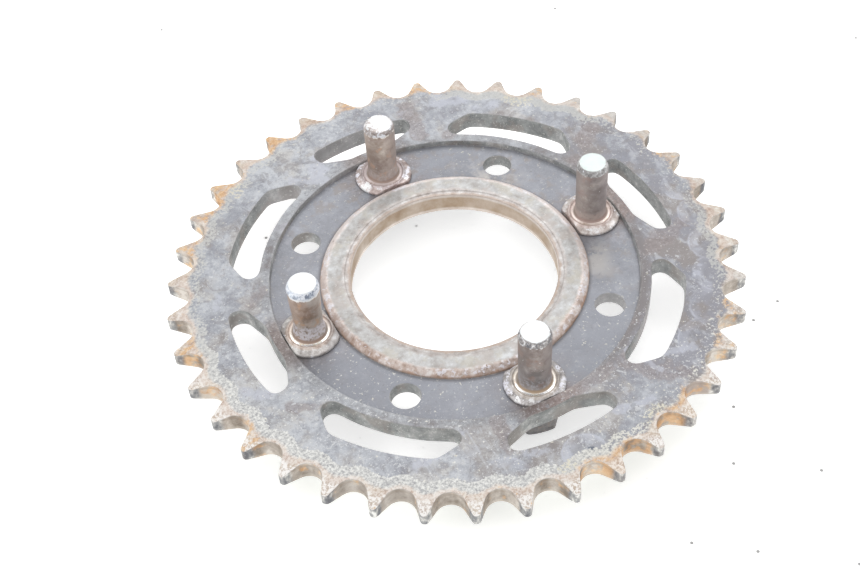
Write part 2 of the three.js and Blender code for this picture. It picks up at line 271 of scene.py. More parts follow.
def build_plate():
    outline = tooth_outline()
    wide, narrow = wide_slot(), narrow_slot()
    slots = []
    for k in range(4):
        slots.append(turned(narrow, 90 * k + SLOT_PHASE))
        slots.append(turned(wide, 90 * k + 45 + SLOT_PHASE))
    holes = [circle(HOLE_R, 64, 44.95 * math.cos(45 * k * RAD), 44.95 * math.sin(45 * k * RAD)) for k in range(8)]
    bore = circle(BORE_R, 400)
    # every loop: points, +1 when metal is inside it and -1 when metal is round it, edge rounding in front and behind
    loops = [(outline, 1, 0.20, 0.24)]
    loops += [(s, -1, 0.24, 0.22) for s in slots]
    loops += [(h, -1, 0.28, 0.22) for h in holes]
    loops += [(bore, -1, 0.30, 0.35)]

    verts, faces, edge = [], [], []

    def add(points, edge_wear_and_sheen):
        start = len(verts)
        verts.extend(map(tuple, points))
        edge.extend([edge_wear_and_sheen] * len(points) if np.isscalar(edge_wear_and_sheen) else list(edge_wear_and_sheen))
        return start

    front_rings, back_rings = [], []
    for p, side, bt, bb in loops:
        n = out_normals(p) * side
        k_round, rings = 4, []
        inner_t, inner_b = p - n * bt, p - n * bb
        zt = front_z(np.hypot(*inner_t.T))
        zb = back_z(np.hypot(*inner_b.T))
        # each ring of the rounding gets a weight, kept as the edge attribute, for worn edges and their painted
        # highlight
        for j in range(k_round + 1):
            a = 90 * RAD * j / k_round
            q = p - n * bt * (1 - math.sin(a))
            rings.append((np.c_[q, zt - bt * (1 - math.cos(a))], [0.35, 0.8, 1.0, 0.8, 0.45][j]))
        m = 7
        for j in range(1, m):
            t = j / m
            rings.append((np.c_[p, (zt - bt) * (1 - t) + (zb + bb) * t], 0.0))
        for j in range(k_round + 1):
            a = 90 * RAD * (1 - j / k_round)
            q = p - n * bb * (1 - math.sin(a))
            rings.append((np.c_[q, zb + bb * (1 - math.cos(a))], [0.45, 0.8, 1.0, 0.8, 0.35][j]))
        starts = [add(r, w) for r, w in rings]
        count = len(p)
        for s0, s1 in zip(starts, starts[1:]):
            for i in range(count):
                i2 = (i + 1) % count
                faces.append((s0 + i, s0 + i2, s1 + i2, s1 + i))
        front_rings.append(rings[0][0])
        back_rings.append(rings[-1][0])

    def surface(rings, profile, zfun, dense):
        pts, zs, edge_wear_and_sheen, links = [], [], [], []

        def loop(xyz, w):
            s = len(pts)
            pts.extend(map(tuple, xyz[:, :2]))
            zs.extend(xyz[:, 2])
            edge_wear_and_sheen.extend([w] * len(xyz))
            links.extend((s + i, s + (i + 1) % len(xyz)) for i in range(len(xyz)))

        for r in rings:
            loop(r, 0.35)
        for r0, z, wavy in profile:
            n = 420
            c = circle(r0, n)
            if wavy:
                w = np.array([noise3((x, y, 0), 0.55, 3.1) + 0.5 * noise3((x, y, 0), 1.7, 8.0) for x, y in c]) * wavy
                c *= (1 + w / r0)[:, None]
            loop(np.c_[c, np.full(n, z)], 0.5 if wavy else 0.0)
        fixed = np.array(pts)
        # loose points between the loops
        loose = []
        for r in np.arange(31.6, 52.0, 1.1):
            loose.append(circle(r, int(2 * math.pi * r / 1.4)))
        for r in np.arange(53.3, 73.6, 1.0):
            loose.append(circle(r, int(2 * math.pi * r / 1.2)))
        for r in np.arange(73.9, 81.6, 0.42):
            loose.append(circle(r, int(2 * math.pi * r / dense)))
        loose = np.vstack(loose)
        ok = np.ones(len(loose), bool)
        rr = np.hypot(*loose.T)
        outer = rr > 73
        ok[outer] = inside(loose[outer], rings[0][:, :2])
        for r in rings[1:-1]:
            ok &= ~inside(loose, r[:, :2])
        loose = loose[ok]
        rr = np.hypot(*loose.T)
        keep = np.ones(len(loose), bool)
        for r0, z, wavy in profile:
            keep &= np.abs(rr - r0) > 0.3
        loose = loose[keep]
        edges_pts = np.vstack([r[:, :2] for r in rings])
        loose = loose[far_from(loose, edges_pts, 0.26)]
        # one row of points just inside every edge keeps the flats flat right up to the rounding
        for (p, side, bt, bb), r in zip(loops, rings):
            q = (r[:, :2] - out_normals(p) * side * 0.22)[::2]
            loose = np.vstack([loose, q])
        base = len(pts)
        pts.extend(map(tuple, loose))
        zs.extend(zfun(np.hypot(*loose.T)))
        edge_wear_and_sheen.extend([0.0] * len(loose))
        got = delaunay_2d_cdt([Vector(p) for p in pts], links, [], 0, 1e-5, True)
        out_xy = np.array([tuple(v) for v in got[0]])
        tri = np.array([f for f in got[2] if len(f) == 3])
        oz, ow = np.zeros(len(out_xy)), np.zeros(len(out_xy))
        calc = zfun(np.hypot(*out_xy.T))
        for i, src in enumerate(got[3]):
            if src:
                oz[i], ow[i] = zs[src[0]], edge_wear_and_sheen[src[0]]
                if src[0] < base:
                    out_xy[i] = pts[src[0]]
            else:
                oz[i] = calc[i]
        cen = out_xy[tri].mean(1)
        rr = np.hypot(*cen.T)
        ok = np.ones(len(tri), bool)
        outer = rr > 73
        ok[outer] = inside(cen[outer], rings[0][:, :2])
        for r in rings[1:]:
            ok &= ~inside(cen, r[:, :2])
        s = add(np.c_[out_xy, oz], ow)
        faces.extend((s + a, s + b, s + c) for a, b, c in tri[ok])

    surface(front_rings, FRONT, front_z, 0.5)
    surface(back_rings, BACK, back_z, 0.9)
    return verts, faces, edge


def make_object(name, verts, faces, edge=None, sharp=42, weld=2e-6, roughen=None, marks=None):
    """One closed mesh in metres from points in millimetres measured from the plate's middle plane."""
    v = np.array(verts, float)
    v[:, 2] += Z0
    me = bpy.data.meshes.new(name)
    me.from_pydata((v * MM).tolist(), [], [list(map(int, f)) for f in faces])
    if edge is not None:
        a = me.attributes.new("edge", "FLOAT", "POINT")
        a.data.foreach_set("value", np.array(edge, np.float32))
    bm = bmesh.new()
    bm.from_mesh(me)
    bmesh.ops.remove_doubles(bm, verts=bm.verts, dist=weld)
    loose = [x for x in bm.verts if not x.link_faces]
    bmesh.ops.delete(bm, geom=loose, context="VERTS")
    bmesh.ops.recalc_face_normals(bm, faces=bm.faces)
    bm.normal_update()
    if roughen:
        moves = []
        for x in bm.verts:
            p = (x.co.x / MM, x.co.y / MM, x.co.z / MM - Z0)
            moves.append(roughen(p, x.normal))
        for x, d in zip(bm.verts, moves):
            if d:
                x.co -= x.normal * (d * MM)
    bad = sum(1 for e in bm.edges if len(e.link_faces) != 2)
    print(name, len(bm.verts), "points", len(bm.faces), "faces", bad, "open edges")
    bm.to_mesh(me)
    bm.free()
    if marks:
        xyz = np.empty(len(me.vertices) * 3)
        me.vertices.foreach_get("co", xyz)
        xy = xyz.reshape(-1, 3)[:, :2] / MM
        for key, f in marks.items():
            a = me.attributes.new(key, "FLOAT", "POINT")
            a.data.foreach_set("value", np.asarray(f(xy), np.float32))
    me.shade_smooth()
    me.set_sharp_from_angle(angle=math.radians(sharp))
    ob = bpy.data.objects.new(name, me)
    bpy.context.scene.collection.objects.link(ob)
    return ob


def polar_point(r, photo_deg):
    a = (photo_deg - 24.6) * RAD
    return r * math.cos(a), r * math.sin(a)


# marks, listed: angle and radius at both ends, width, strength
MARKS = {
    "brown": [(200, 52.5, 212, 60, 4.2, 1.0), (318, 58, 324, 70, 6.0, 0.9), (278, 54, 279, 63, 3.4, 1.0), (3, 56, 10, 68, 5.4, 0.9),
              (97, 56, 99, 70, 4.0, 1.0), (88, 55, 84, 60, 3.6, 0.8), (296, 54, 322, 57, 3.6, 1.0), (20, 54, 14, 60, 4.0, 1.0),
              (232, 57, 224, 64, 3.0, 0.7), (46, 56, 50, 70, 5.0, 0.8), (184, 54, 188, 58, 3.4, 0.8), (333, 54, 338, 56, 3.0, 0.7)],
    "veil": [(323, 56, 322, 66, 2.2, 1.0), (327, 64, 331, 71, 2.8, 0.9), (336, 57, 332, 60, 2.2, 0.9), (306, 66, 314, 70, 2.4, 0.8),
             (134, 54, 139, 60, 4.4, 1.0), (176, 57, 172, 62, 3.4, 0.8), (270, 55, 262, 62, 2.8, 0.7), (348, 66, 356, 69, 2.6, 0.7),
             (90, 70.5, 84, 71, 5.5, 1.0), (80, 67, 76, 69, 4.0, 0.9), (131, 58, 128, 62, 5.0, 0.9), (262, 62, 258, 66, 4.5, 0.7),
             (246, 60, 250, 62, 4.0, 0.7), (283, 66, 288, 67, 4.0, 0.7), (218, 66, 214, 69, 3.6, 0.6), (184, 66, 190, 68, 3.2, 0.6)],
    "slate": [(312, 60, 306, 62, 5.0, 0.8), (344, 66, 340, 69, 5.0, 1.0), (352, 67, 356, 64, 4.0, 0.8), (333, 66, 335, 70, 3.4, 1.0),
              (106, 68, 110, 70, 4.0, 0.8), (38, 66, 30, 70, 5.0, 0.8), (155, 68, 160, 70, 3.6, 0.7), (292, 60, 288, 63, 3.0, 0.7)],
    "cream": [(72, 73.4, 69, 73.0, 5.0, 1.0), (148.5, 73.0, 150, 72.4, 3.4, 1.0), (291, 74.0, 289, 73.4, 3.6, 0.8), (310, 73.5, 313, 72.8, 3.2, 0.8)],
}


# stretches of the rim: angle, half width, amount; summed for the names in ADDED
STRETCHES = {
    "tilt": [(240, 60, 0.11), (347, 50, -0.19), (341, 22, -0.10), (283, 18, -0.06), (46, 26, -0.12), (74, 20, 0.08),
             (133, 24, 0.12), (310, 14, 0.05), (185, 24, 0.04)],
    "pale": [(0, 180, 0.10), (246, 62, 0.72), (70, 26, 0.34), (3, 14, 0.16), (306, 14, 0.06), (160, 40, 0.12)],
    "late": [(336, 26, 1.2), (36, 26, 0.9), (100, 16, 0.4)],
    "webpale": [(72, 18, 1.0), (2, 12, 1.0)],
    "webblue": [(306, 44, 1.6), (90, 16, 1.0), (240, 34, 1.5), (30, 20, 1.2)],
    "warmth": [(285, 40, 0.05)],
    "marks": [(270, 22, 1.0)],
    "darkfoot": [(119, 24, 1.0), (200, 20, 1.0), (32, 5, 1.0)],
    "creamy": [(312, 26, 0.40)],
    "cool": [(50, 34, 1.0), (346, 16, 0.7)],
    "rust": [(131.7, 5, 1.15), (151, 7, 1.05), (158, 4, 0.7), (113, 4, 0.7), (95, 4, 0.75), (67, 4, 0.55), (31, 4, 0.5), (168, 6, 0.6),
             (196.4, 4, 0.85), (223, 5, 0.6), (297, 8, 1.05), (317, 7, 1.0), (344, 5, 0.6), (335, 5, 0.5)],
    "rootonly": [(312, 30, 1.0)],
    "gul_dark": [(250, 16, 0.35)],
    "gul_pale": [(207, 8, 0.7)],
    "gul_red": [(322, 6, 0.7)],
    "gul_rust": [(210, 6, 0.10), (306, 24, 0.20)],
    "slot_pale": [(128, 26, 0.45), (338, 12, 0.45)],
    "ring_dark": [(292, 26, 0.5)],
}
ADDED = ("tilt", "pale")


def stretches(xy, key):
    a = np.degrees(np.arctan2(xy[:, 1], xy[:, 0])) + 24.6
    out = np.zeros(len(xy))
    for deg, width, amount in STRETCHES[key]:
        if width >= 180:
            v = np.full(len(xy), amount)
        else:
            v = amount * smoothstep(math.cos(width * RAD), 1.0, np.cos((a - deg) * RAD))
        out = out + v if key in ADDED else np.maximum(out, v)
    return out


def towards(xy, deg, lo, hi, least=0.0):
    a = np.degrees(np.arctan2(xy[:, 1], xy[:, 0])) + 24.6
    return least + (1 - least) * smoothstep(lo, hi, np.cos((a - deg) * RAD))


def pin_distance(xy, reach, lo, hi):
    """1 at lo mm and 0 at hi mm from the nearest pin, or from the point reach mm from the middle beside it, going on past both."""
    best = np.full(len(xy), -9.0)
    for px, py in PIN_XY:
        n = math.hypot(px, py)
        q = np.array([px, py]) * ((reach or n) / n)
        best = np.maximum(best, (hi - np.linalg.norm(xy - q, axis=1)) / (hi - lo))
    return np.clip(best, -1.5, 2.5)


def pin_weight(xy, w):
    d = [np.linalg.norm(xy - np.array(q), axis=1) for q in PIN_XY]
    return np.array(w)[np.argmin(np.array(d), axis=0)]


def plate_marks():
    out = {key: (lambda xy, i=items: streaks(xy, i)) for key, items in MARKS.items()}
    out.update({key: (lambda xy, k=key: stretches(xy, k)) for key in STRETCHES})
    out["near"] = lambda xy: towards(xy, 270, -0.4, 0.9)
    out["far"] = lambda xy: towards(xy, 90, -0.7, 0.4)
    out["farweb"] = lambda xy: towards(xy, 75, -0.2, 0.7, 0.25)
    out["red"] = lambda xy: pin_distance(xy, 52.5, 4.0, 13.0)
    out["foot"] = lambda xy: pin_distance(xy, 0, 8.4, 15.5)
    out["footw"] = lambda xy: pin_weight(xy, (0.4, 0.8, 0.4, 0.3))
    return out


def streaks(xy, items):
    """How near each point is to any band that runs from one angle and radius to another."""
    out = np.zeros(len(xy))
    for d0, r0, d1, r1, width, amount in items:
        p, q = np.array(polar_point(r0, d0)), np.array(polar_point(r1, d1))
        t = q - p
        u = np.clip(((xy - p) @ t) / max(t @ t, 1e-9), 0, 1)
        d = np.linalg.norm(xy - p - u[:, None] * t, axis=1)
        out = np.maximum(out, amount * smoothstep(width, width * 0.15, d))
    return out


def finish_piece(ob, node, mat):
    ob.data.materials.clear()
    ob.data.materials.append(mat)
    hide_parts(node)
    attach(ob, "root")


def plate_rough(p, n):
    """Pitting, in millimetres and always inwards."""
    r = math.hypot(p[0], p[1])
    flat = abs(n.z)
    tooth = float(smoothstep(74.0, 76.0, r))
    wall = 1 - flat
    d = 0.0
    if tooth > 0:
        a = 0.5 + 0.5 * noise3(p, 0.9, 2.0)
        b = max(0.0, noise3(p, 2.6, 5.0))
        d += tooth * (0.025 * a + 0.05 * b * (0.4 + wall))
    if 36.0 < r < 38.6 and p[2] > WEB_Z + 0.1:
        d += 0.10 * max(0.0, noise3(p, 1.3, 9.0)) + 0.05 * max(0.0, noise3(p, 3.1, 4.0))
    if r < 31.2:
        d += 0.05 * max(0.0, noise3(p, 1.6, 7.0))
    if wall > 0.4 and r > 40 and tooth < 0.5:
        d += 0.04 * max(0.0, noise3(p, 1.1, 6.0))
    return d


# ---------------------------------------------------------------------------
# turned pieces
# ---------------------------------------------------------------------------
def stack(rings, close_bottom=True, close_top=True):
    """Rings of equal length, bottom first, joined into a skin; each end closed on a centre point."""
    verts, faces = [], []
    n = len(rings[0])
    for r in rings:
        verts.extend(map(tuple, r))
    for j in range(len(rings) - 1):
        for i in range(n):
            i2 = (i + 1) % n
            faces.append((j * n + i, j * n + i2, (j + 1) * n + i2, (j + 1) * n + i))
    if close_bottom:
        verts.append(tuple(np.mean(rings[0], 0)))
        c = len(verts) - 1
        faces.extend((c, (i + 1) % n, i) for i in range(n))
    if close_top:
        verts.append(tuple(np.mean(rings[-1], 0)))
        c, s = len(verts) - 1, (len(rings) - 1) * n
        faces.extend((c, s + i, s + (i + 1) % n) for i in range(n))
    return verts, faces


def place(verts, x, y, turn):
    v = np.array(verts, float)
    c, s = math.cos(turn), math.sin(turn)
    return np.c_[v[:, 0] * c - v[:, 1] * s + x, v[:, 0] * s + v[:, 1] * c + y, v[:, 2]]


N_SEG = 112
ANG = np.arange(N_SEG) * 2 * math.pi / N_SEG


def ring_at(r, z, clip=None):
    """One ring of a turned piece; clip keeps it inside the collar's two flats."""
    rr = np.full(N_SEG, r) if np.isscalar(r) else np.array(r)
    if clip:
        c = np.cos(ANG)
        out = np.where(c > 0, clip[0] / np.maximum(c, 1e-6), clip[1] / np.maximum(-c, 1e-6))
        # a small round where each flat meets the turned edge
        s = 0.12
        d = out - rr
        rr = np.where(np.abs(d) < s, np.minimum(out, rr) - (s - np.abs(d)) ** 2 / (4 * s), np.minimum(out, rr))
    zz = np.full(N_SEG, z) if np.isscalar(z) else z
    return np.c_[rr * np.cos(ANG), rr * np.sin(ANG), zz]


def thread_r(z, major, depth, pitch, ang=ANG):
    """Radius round a right-hand thread at height z."""
    ph = (z / pitch - ang / (2 * math.pi)) % 1.0
    tri = np.abs(ph * 2 - 1)
    return major - depth * np.clip((tri - 0.12) / 0.76, 0, 1)


def build_pin(k):
    seat = WEB_Z + GAP
    x, y = PIN_XY[k]
    top = PIN_TOP
    rs = 4.5
    worn = {2: 0.42, 0: 0.06, 1: 0.14, 3: 0.08}[k]
    rings = []
    # threaded tail
    z = TAIL_END
    rings += [ring_at(r, z) for r in (0.7, 1.6, 2.5, 2.95)]
    thread_top = -HALF_T - 1.6
    zs = np.arange(TAIL_END + 0.05, thread_top, 0.125)
    for zz in zs:
        lim = 3.05 + (zz - TAIL_END) * 1.0          # lead-in chamfer
        run = float(smoothstep(thread_top, thread_top - 1.2, zz))
        r = np.minimum(thread_r(zz, 3.9, 0.62 * run, 1.25), lim)
        rings.append(ring_at(r, zz))
    rings += [ring_at(3.9, thread_top + 0.05), ring_at(3.9, -1.0), ring_at(3.9, seat - 0.02)]
    flats = (7.0, 6.6)
    for r, zz in [(4.6, seat), (6.2, seat), (8.1, seat), (8.36, seat + 0.04), (8.47, seat + 0.14),
                  (8.5, seat + 0.35), (8.5, seat + 0.62), (8.45, seat + 0.84), (8.3, seat + 1.0), (8.05, seat + 1.12),
                  (7.7, seat + 1.22), (7.3, seat + 1.32), (6.95, seat + 1.42), (6.78, seat + 1.48)]:
        rings.append(ring_at(r, zz, flats))
    # a ridge, a shallow groove inside it, and the hollow fillet up to the shank
    for r, zz in [(6.66, seat + 1.58), (6.54, seat + 1.76), (6.42, seat + 1.88), (6.26, seat + 1.93), (6.1, seat + 1.9),
                  (5.98, seat + 1.80), (5.88, seat + 1.70), (5.74, seat + 1.66), (5.56, seat + 1.66), (5.38, seat + 1.67),
                  (5.2, seat + 1.69), (5.04, seat + 1.73), (4.9, seat + 1.81), (4.78, seat + 1.93), (4.68, seat + 2.09),
                  (4.60, seat + 2.3), (4.54, seat + 2.6), (4.51, seat + 3.0)]:
        rings.append(ring_at(r, zz))
    lo, hi = seat + 3.6, top - 1.7
    for zz in np.arange(lo, hi, 0.42):
        t = (zz - lo) / (hi - lo)
        neck = worn * float(smoothstep(-0.05, 0.12, t) * (1 - 0.75 * smoothstep(0.30, 0.80, t)) * (1 - smoothstep(0.90, 1.0, t)))
        rings.append(ring_at(rs - neck, zz))
    for r, zz in [(rs, top - 1.6), (rs - 0.02, top - 1.42), (rs - 0.09, top - 1.2), (rs - 0.20, top - 0.92),
                  (rs - 0.33, top - 0.62), (rs - 0.45, top - 0.36), (rs - 0.55, top - 0.17), (rs - 0.65, top - 0.05),
                  (rs - 0.80, top), (3.2, top), (2.6, top), (1.9, top), (1.2, top), (0.6, top)]:
        rings.append(ring_at(r, zz))
    verts, faces = stack(rings)
    v = place(verts, x, y, 90 * k * RAD)

    def rough(p, n):
        h = p[2]
        d = 0.0
        q = (p[0] - x, p[1] - y, h)
        rad = math.hypot(q[0], q[1])
        if h > seat + 2.8 and h < top - 1.6:
            d = 0.035 * (0.5 + 0.5 * noise3(p, 0.8, 2 + k)) + 0.06 * max(0, noise3(p, 2.2, 5 + k))
        elif h >= top - 1.6:
            d = 0.02 + 0.13 * max(0, noise3(p, 1.3, 3 + k)) * float(smoothstep(3.0, 3.9, rad))
        elif h > seat + 0.1:
            d = 0.05 * (0.5 + 0.5 * noise3(p, 0.7, 4 + k)) + 0.20 * max(0, noise3(p, 0.9, 8 + k)) * float(smoothstep(6.0, 7.3, rad))
        return d

    return make_object(f"drive_pin_{k + 1}_fine", v, faces, sharp=50, roughen=rough)


def build_washer(k):
    x, y = PIN_XY[k]
    z1, z0 = -HALF_T - GAP, -HALF_T - 1.6
    ri, ro, b = 4.25, 8.0, 0.18
    prof = [(ri, z0 + b), (ri, z1 - b), (ri + b * 0.3, z1 - b * 0.3), (ri + b, z1), (ro - b, z1), (ro - b * 0.3, z1 - b * 0.3),
            (ro, z1 - b), (ro, z0 + 0.4), (ro - 0.1, z0 + 0.12), (ro - 0.35, z0), (ri + b, z0), (ri + b * 0.3, z0 + b * 0.3)]
    verts, faces, m = [], [], len(prof)
    for r, z in prof:
        verts.extend(map(tuple, ring_at(r, z)))
    for j in range(m):
        j2 = (j + 1) % m
        for i in range(N_SEG):
            i2 = (i + 1) % N_SEG
            faces.append((j * N_SEG + i, j * N_SEG + i2, j2 * N_SEG + i2, j2 * N_SEG + i))
    v = place(verts, x, y, 90 * k * RAD)
    return make_object(f"plain_washer_{k + 1}_fine", v, faces, sharp=50,
                       roughen=lambda p, n: 0.03 * max(0, noise3(p, 1.2, 3 + k)))


def build_spring(k):
    """Split spring washer: a rounded-square bar wound once, its slanted ends a little apart."""
    x, y = PIN_XY[k]
    z1, z0 = -HALF_T - 1.6 - GAP, -HALF_T - 1.6 - 2.0
    ri, ro, b = 4.25, 7.3, 0.22
    z0 += 0.02
    sec = []
    for cx, cz, a0 in [(ro - b, z1 - b, 0), (ri + b, z1 - b, 90), (ri + b, z0 + b, 180), (ro - b, z0 + b, 270)]:
        for j in range(4):
            a = (a0 + 30 * j) * RAD
            sec.append((cx + b * math.cos(a), cz + b * math.sin(a)))
    m, n = len(sec), 120
    verts, faces = [], []
    zm, half = (z0 + z1) / 2, (z1 - z0) / 2
    for i in range(n + 1):
        t = i / n
        for r, z in sec:
            slant = 7.0 * (z - zm) / half             # the cut leans
            a = (6.5 + (360 - 13.0) * t + slant * (1 if True else 0)) * RAD
            verts.append((r * math.cos(a), r * math.sin(a), z))
    for i in range(n):
        for j in range(m):
            j2 = (j + 1) % m
            faces.append((i * m + j, i * m + j2, (i + 1) * m + j2, (i + 1) * m + j))
    for base, flip in ((0, False), (n * m, True)):
        c = len(verts)
        verts.append(tuple(np.mean([verts[base + j] for j in range(m)], 0)))
        for j in range(m):
            f = (c, base + (j + 1) % m, base + j)
            faces.append(f[::-1] if flip else f)
    v = place(verts, x, y, 90 * k * RAD + (70 + 50 * k) * RAD)
    return make_object(f"spring_washer_{k + 1}_fine", v, faces, sharp=50,
                       roughen=lambda p, n: 0.03 * max(0, noise3(p, 1.4, 6 + k)))


NUT_TURN = [13, 41, 4, 17.4]


def build_nut(k):
    """Hex nut with chamfered corners, a counter-sunk thread and soft edges."""
    x, y = PIN_XY[k]
    h = 6.5
    z1 = -HALF_T - 1.6 - 2.0 - GAP
    z0 = z1 - h
    af = 6.5
    a60 = ((ANG + math.pi / 6) % (math.pi / 3)) - math.pi / 6
    flat_r = af / np.cos(a60)
    corner = af / math.cos(30 * RAD)
    flat_r = np.minimum(flat_r, corner - 0.12)
    slope = math.tan(30 * RAD)

    def hexring(z, cap=None):
        r = flat_r.copy()
        if cap is not None:
            d = cap - r
            s = 0.1
            r = np.where(np.abs(d) < s, np.minimum(cap, r) - (s - np.abs(d)) ** 2 / (4 * s), np.minimum(cap, r))
        return ring_at(r, z)

    rings = []
    base = af - 0.35
    low = [(0.0, base), (0.05, base + 0.12)] + [(d, base + d / slope) for d in (0.15, 0.3, 0.45, 0.6, 0.75, 0.9)]
    for d, cap in low:
        rings.append(hexring(z0 + d, cap))
    for t in np.linspace(0.18, 0.82, 9):
        rings.append(hexring(z0 + h * t))
    for d, cap in low[::-1]:
        rings.append(hexring(z1 - d, cap))
    # the face, the counter-sink and the thread, from the top down
    inner = [ring_at(5.4, z1), ring_at(4.75, z1 - 0.02), ring_at(4.55, z1 - 0.12), ring_at(4.15, z1 - 0.5)]
    for z in np.arange(z1 - 0.65, z0 + 0.6, -0.16):
        inner.append(ring_at(thread_r(z, 4.28, 0.22, 1.25), z))
    inner += [ring_at(4.15, z0 + 0.5), ring_at(4.55, z0 + 0.12), ring_at(4.75, z0 + 0.02), ring_at(5.4, z0)]
    rings += inner
    n, verts, faces = N_SEG, [], []
    for r in rings:
        verts.extend(map(tuple, r))
    m = len(rings)
    for j in range(m):
        j2 = (j + 1) % m
        for i in range(n):
            i2 = (i + 1) % n
            faces.append((j * n + i, j * n + i2, j2 * n + i2, j2 * n + i))
    v = place(verts, x, y, 90 * k * RAD + (NUT_TURN[k] + 30) * RAD)
    return make_object(f"hex_nut_{k + 1}_fine", v, faces, sharp=40,
                       roughen=lambda p, n: 0.05 * max(0, noise3(p, 0.9, 11 + k)) + 0.03 * max(0, noise3(p, 2.6, 1 + k)))


# ---------------------------------------------------------------------------
# material helpers
# ---------------------------------------------------------------------------
def srgb(r, g, b):
    def f(c):
        c /= 255
        return c / 12.92 if c <= 0.04045 else ((c + 0.055) / 1.055) ** 2.4
    return (f(r), f(g), f(b), 1.0)


UP, SIDE = 1.50, 1.10          # how strongly the studio lights a level face and an upright one


def lit(rgb, e):
    """The surface colour that shows as rgb under light of strength e."""
    return tuple(min(0.93, c / e) for c in srgb(*rgb)[:3]) + (1.0,)


class Nodes:
    """Short names for the shader nodes used here."""

    def __init__(self, name):
        self.mat = bpy.data.materials.new(name)
        self.mat.use_nodes = True
        self.t = self.mat.node_tree
        self.t.nodes.clear()
        self.out = self.t.nodes.new("ShaderNodeOutputMaterial")
        self.bsdf = self.t.nodes.new("ShaderNodeBsdfPrincipled")
        self.t.links.new(self.bsdf.outputs[0], self.out.inputs[0])
        self.pos = self.t.nodes.new("ShaderNodeTexCoord").outputs["Object"]

    def put(self, socket, value):
        if isinstance(value, bpy.types.NodeSocket):
            self.t.links.new(value, socket)
        else:
            socket.default_value = value

    def math(self, op, a, b=0.0, c=None, clamp=False):
        n = self.t.nodes.new("ShaderNodeMath")
        n.operation, n.use_clamp = op, clamp
        self.put(n.inputs[0], a)
        self.put(n.inputs[1], b)
        if c is not None:
            self.put(n.inputs[2], c)
        return n.outputs[0]

    def add(self, a, b, clamp=False):
        return self.math("ADD", a, b, clamp=clamp)

    def sub(self, a, b, clamp=False):
        return self.math("SUBTRACT", a, b, clamp=clamp)

    def mul(self, a, b, clamp=False):
        return self.math("MULTIPLY", a, b, clamp=clamp)

    def maxi(self, a, b):
        return self.math("MAXIMUM", a, b)

    def step(self, v, a, b, lo=0.0, hi=1.0):
        """Smooth step of v from a (gives lo) to b (gives hi)."""
        n = self.t.nodes.new("ShaderNodeMapRange")
        n.interpolation_type, n.clamp = "SMOOTHSTEP", True
        if a > b:
            a, b, lo, hi = b, a, hi, lo
        self.put(n.inputs["Value"], v)
        n.inputs["From Min"].default_value, n.inputs["From Max"].default_value = a, b
        n.inputs["To Min"].default_value, n.inputs["To Max"].default_value = lo, hi
        return n.outputs["Result"]

    def band(self, v, a, b, soft):
        """1 between a and b."""
        return self.mul(self.step(v, a - soft, a + soft), self.step(v, b + soft, b - soft))

    def tones(self, t, colours, e=UP, gain=1.0):
        """Darkest to lightest of five tones, spread as a noise around 0.5 is."""
        n = self.t.nodes.new("ShaderNodeValToRGB")
        self.put(n.inputs[0], t)
        el = n.color_ramp.elements
        at = [0.5 + d / gain for d in (-0.19, -0.10, 0.0, 0.10, 0.19)]
        while len(el) < 5:
            el.new(0.5)
        for i, c in enumerate(colours):
            el[i].position = at[i]
            el[i].color = lit(c, e)
        return n.outputs[0]

    def blend(self, *parts):
        """Weighted sum of (noise, weight) about 0.5."""
        total = None
        for v, w in parts:
            d = self.mul(self.sub(v, 0.5), w)
            total = d if total is None else self.add(total, d)
        return self.add(total, 0.5)

    def mix(self, fac, a, b):
        n = self.t.nodes.new("ShaderNodeMix")
        n.data_type, n.clamp_factor = "RGBA", True
        self.put(n.inputs[0], fac)
        self.put(n.inputs[6], a)
        self.put(n.inputs[7], b)
        return n.outputs[2]

    def scaled(self, vec, s, off=(0, 0, 0)):
        n = self.t.nodes.new("ShaderNodeMapping")
        self.put(n.inputs["Vector"], vec)
        n.inputs["Scale"].default_value = s if isinstance(s, tuple) else (s, s, s)
        n.inputs["Location"].default_value = off
        return n.outputs[0]

    def noise(self, scale, detail=4.0, rough=0.55, seed=0.0, vec=None, distort=0.0, colour=False):
        """Scale is in features per millimetre."""
        n = self.t.nodes.new("ShaderNodeTexNoise")
        n.noise_dimensions = "3D"
        v = self.scaled(vec or self.pos, 1000.0 * scale, (seed * 3.7, seed * -2.3, seed * 1.9))
        self.put(n.inputs["Vector"], v)
        n.inputs["Scale"].default_value = 1.0
        n.inputs["Detail"].default_value = detail
        n.inputs["Roughness"].default_value = rough
        n.inputs["Distortion"].default_value = distort
        return n.outputs["Color" if colour else "Fac"]

    def cells(self, scale, seed=0.0, vec=None, feature="F1", rand=1.0):
        n = self.t.nodes.new("ShaderNodeTexVoronoi")
        n.voronoi_dimensions = "2D"
        n.feature = feature
        self.put(n.inputs["Vector"], self.scaled(vec or self.pos, 1000.0 * scale, (seed * 3.1, seed * 1.7, -seed * 2.9)))
        n.inputs["Scale"].default_value = 1.0
        n.inputs["Randomness"].default_value = rand
        return n.outputs["Distance"]

    def gain(self, col, f):
        """A colour made f times stronger, kept below white."""
        n = self.t.nodes.new("ShaderNodeVectorMath")
        n.operation = "SCALE"
        self.put(n.inputs[0], col)
        self.put(n.inputs["Scale"], f)
        k = self.t.nodes.new("ShaderNodeVectorMath")
        k.operation = "MINIMUM"
        self.put(k.inputs[0], n.outputs[0])
        k.inputs[1].default_value = (0.93, 0.93, 0.93)
        return k.outputs[0]

    def split(self, vec):
        n = self.t.nodes.new("ShaderNodeSeparateXYZ")
        self.put(n.inputs[0], vec)
        return n.outputs[0], n.outputs[1], n.outputs[2]

    def join(self, x, y, z):
        n = self.t.nodes.new("ShaderNodeCombineXYZ")
        for i, v in enumerate((x, y, z)):
            self.put(n.inputs[i], v)
        return n.outputs[0]

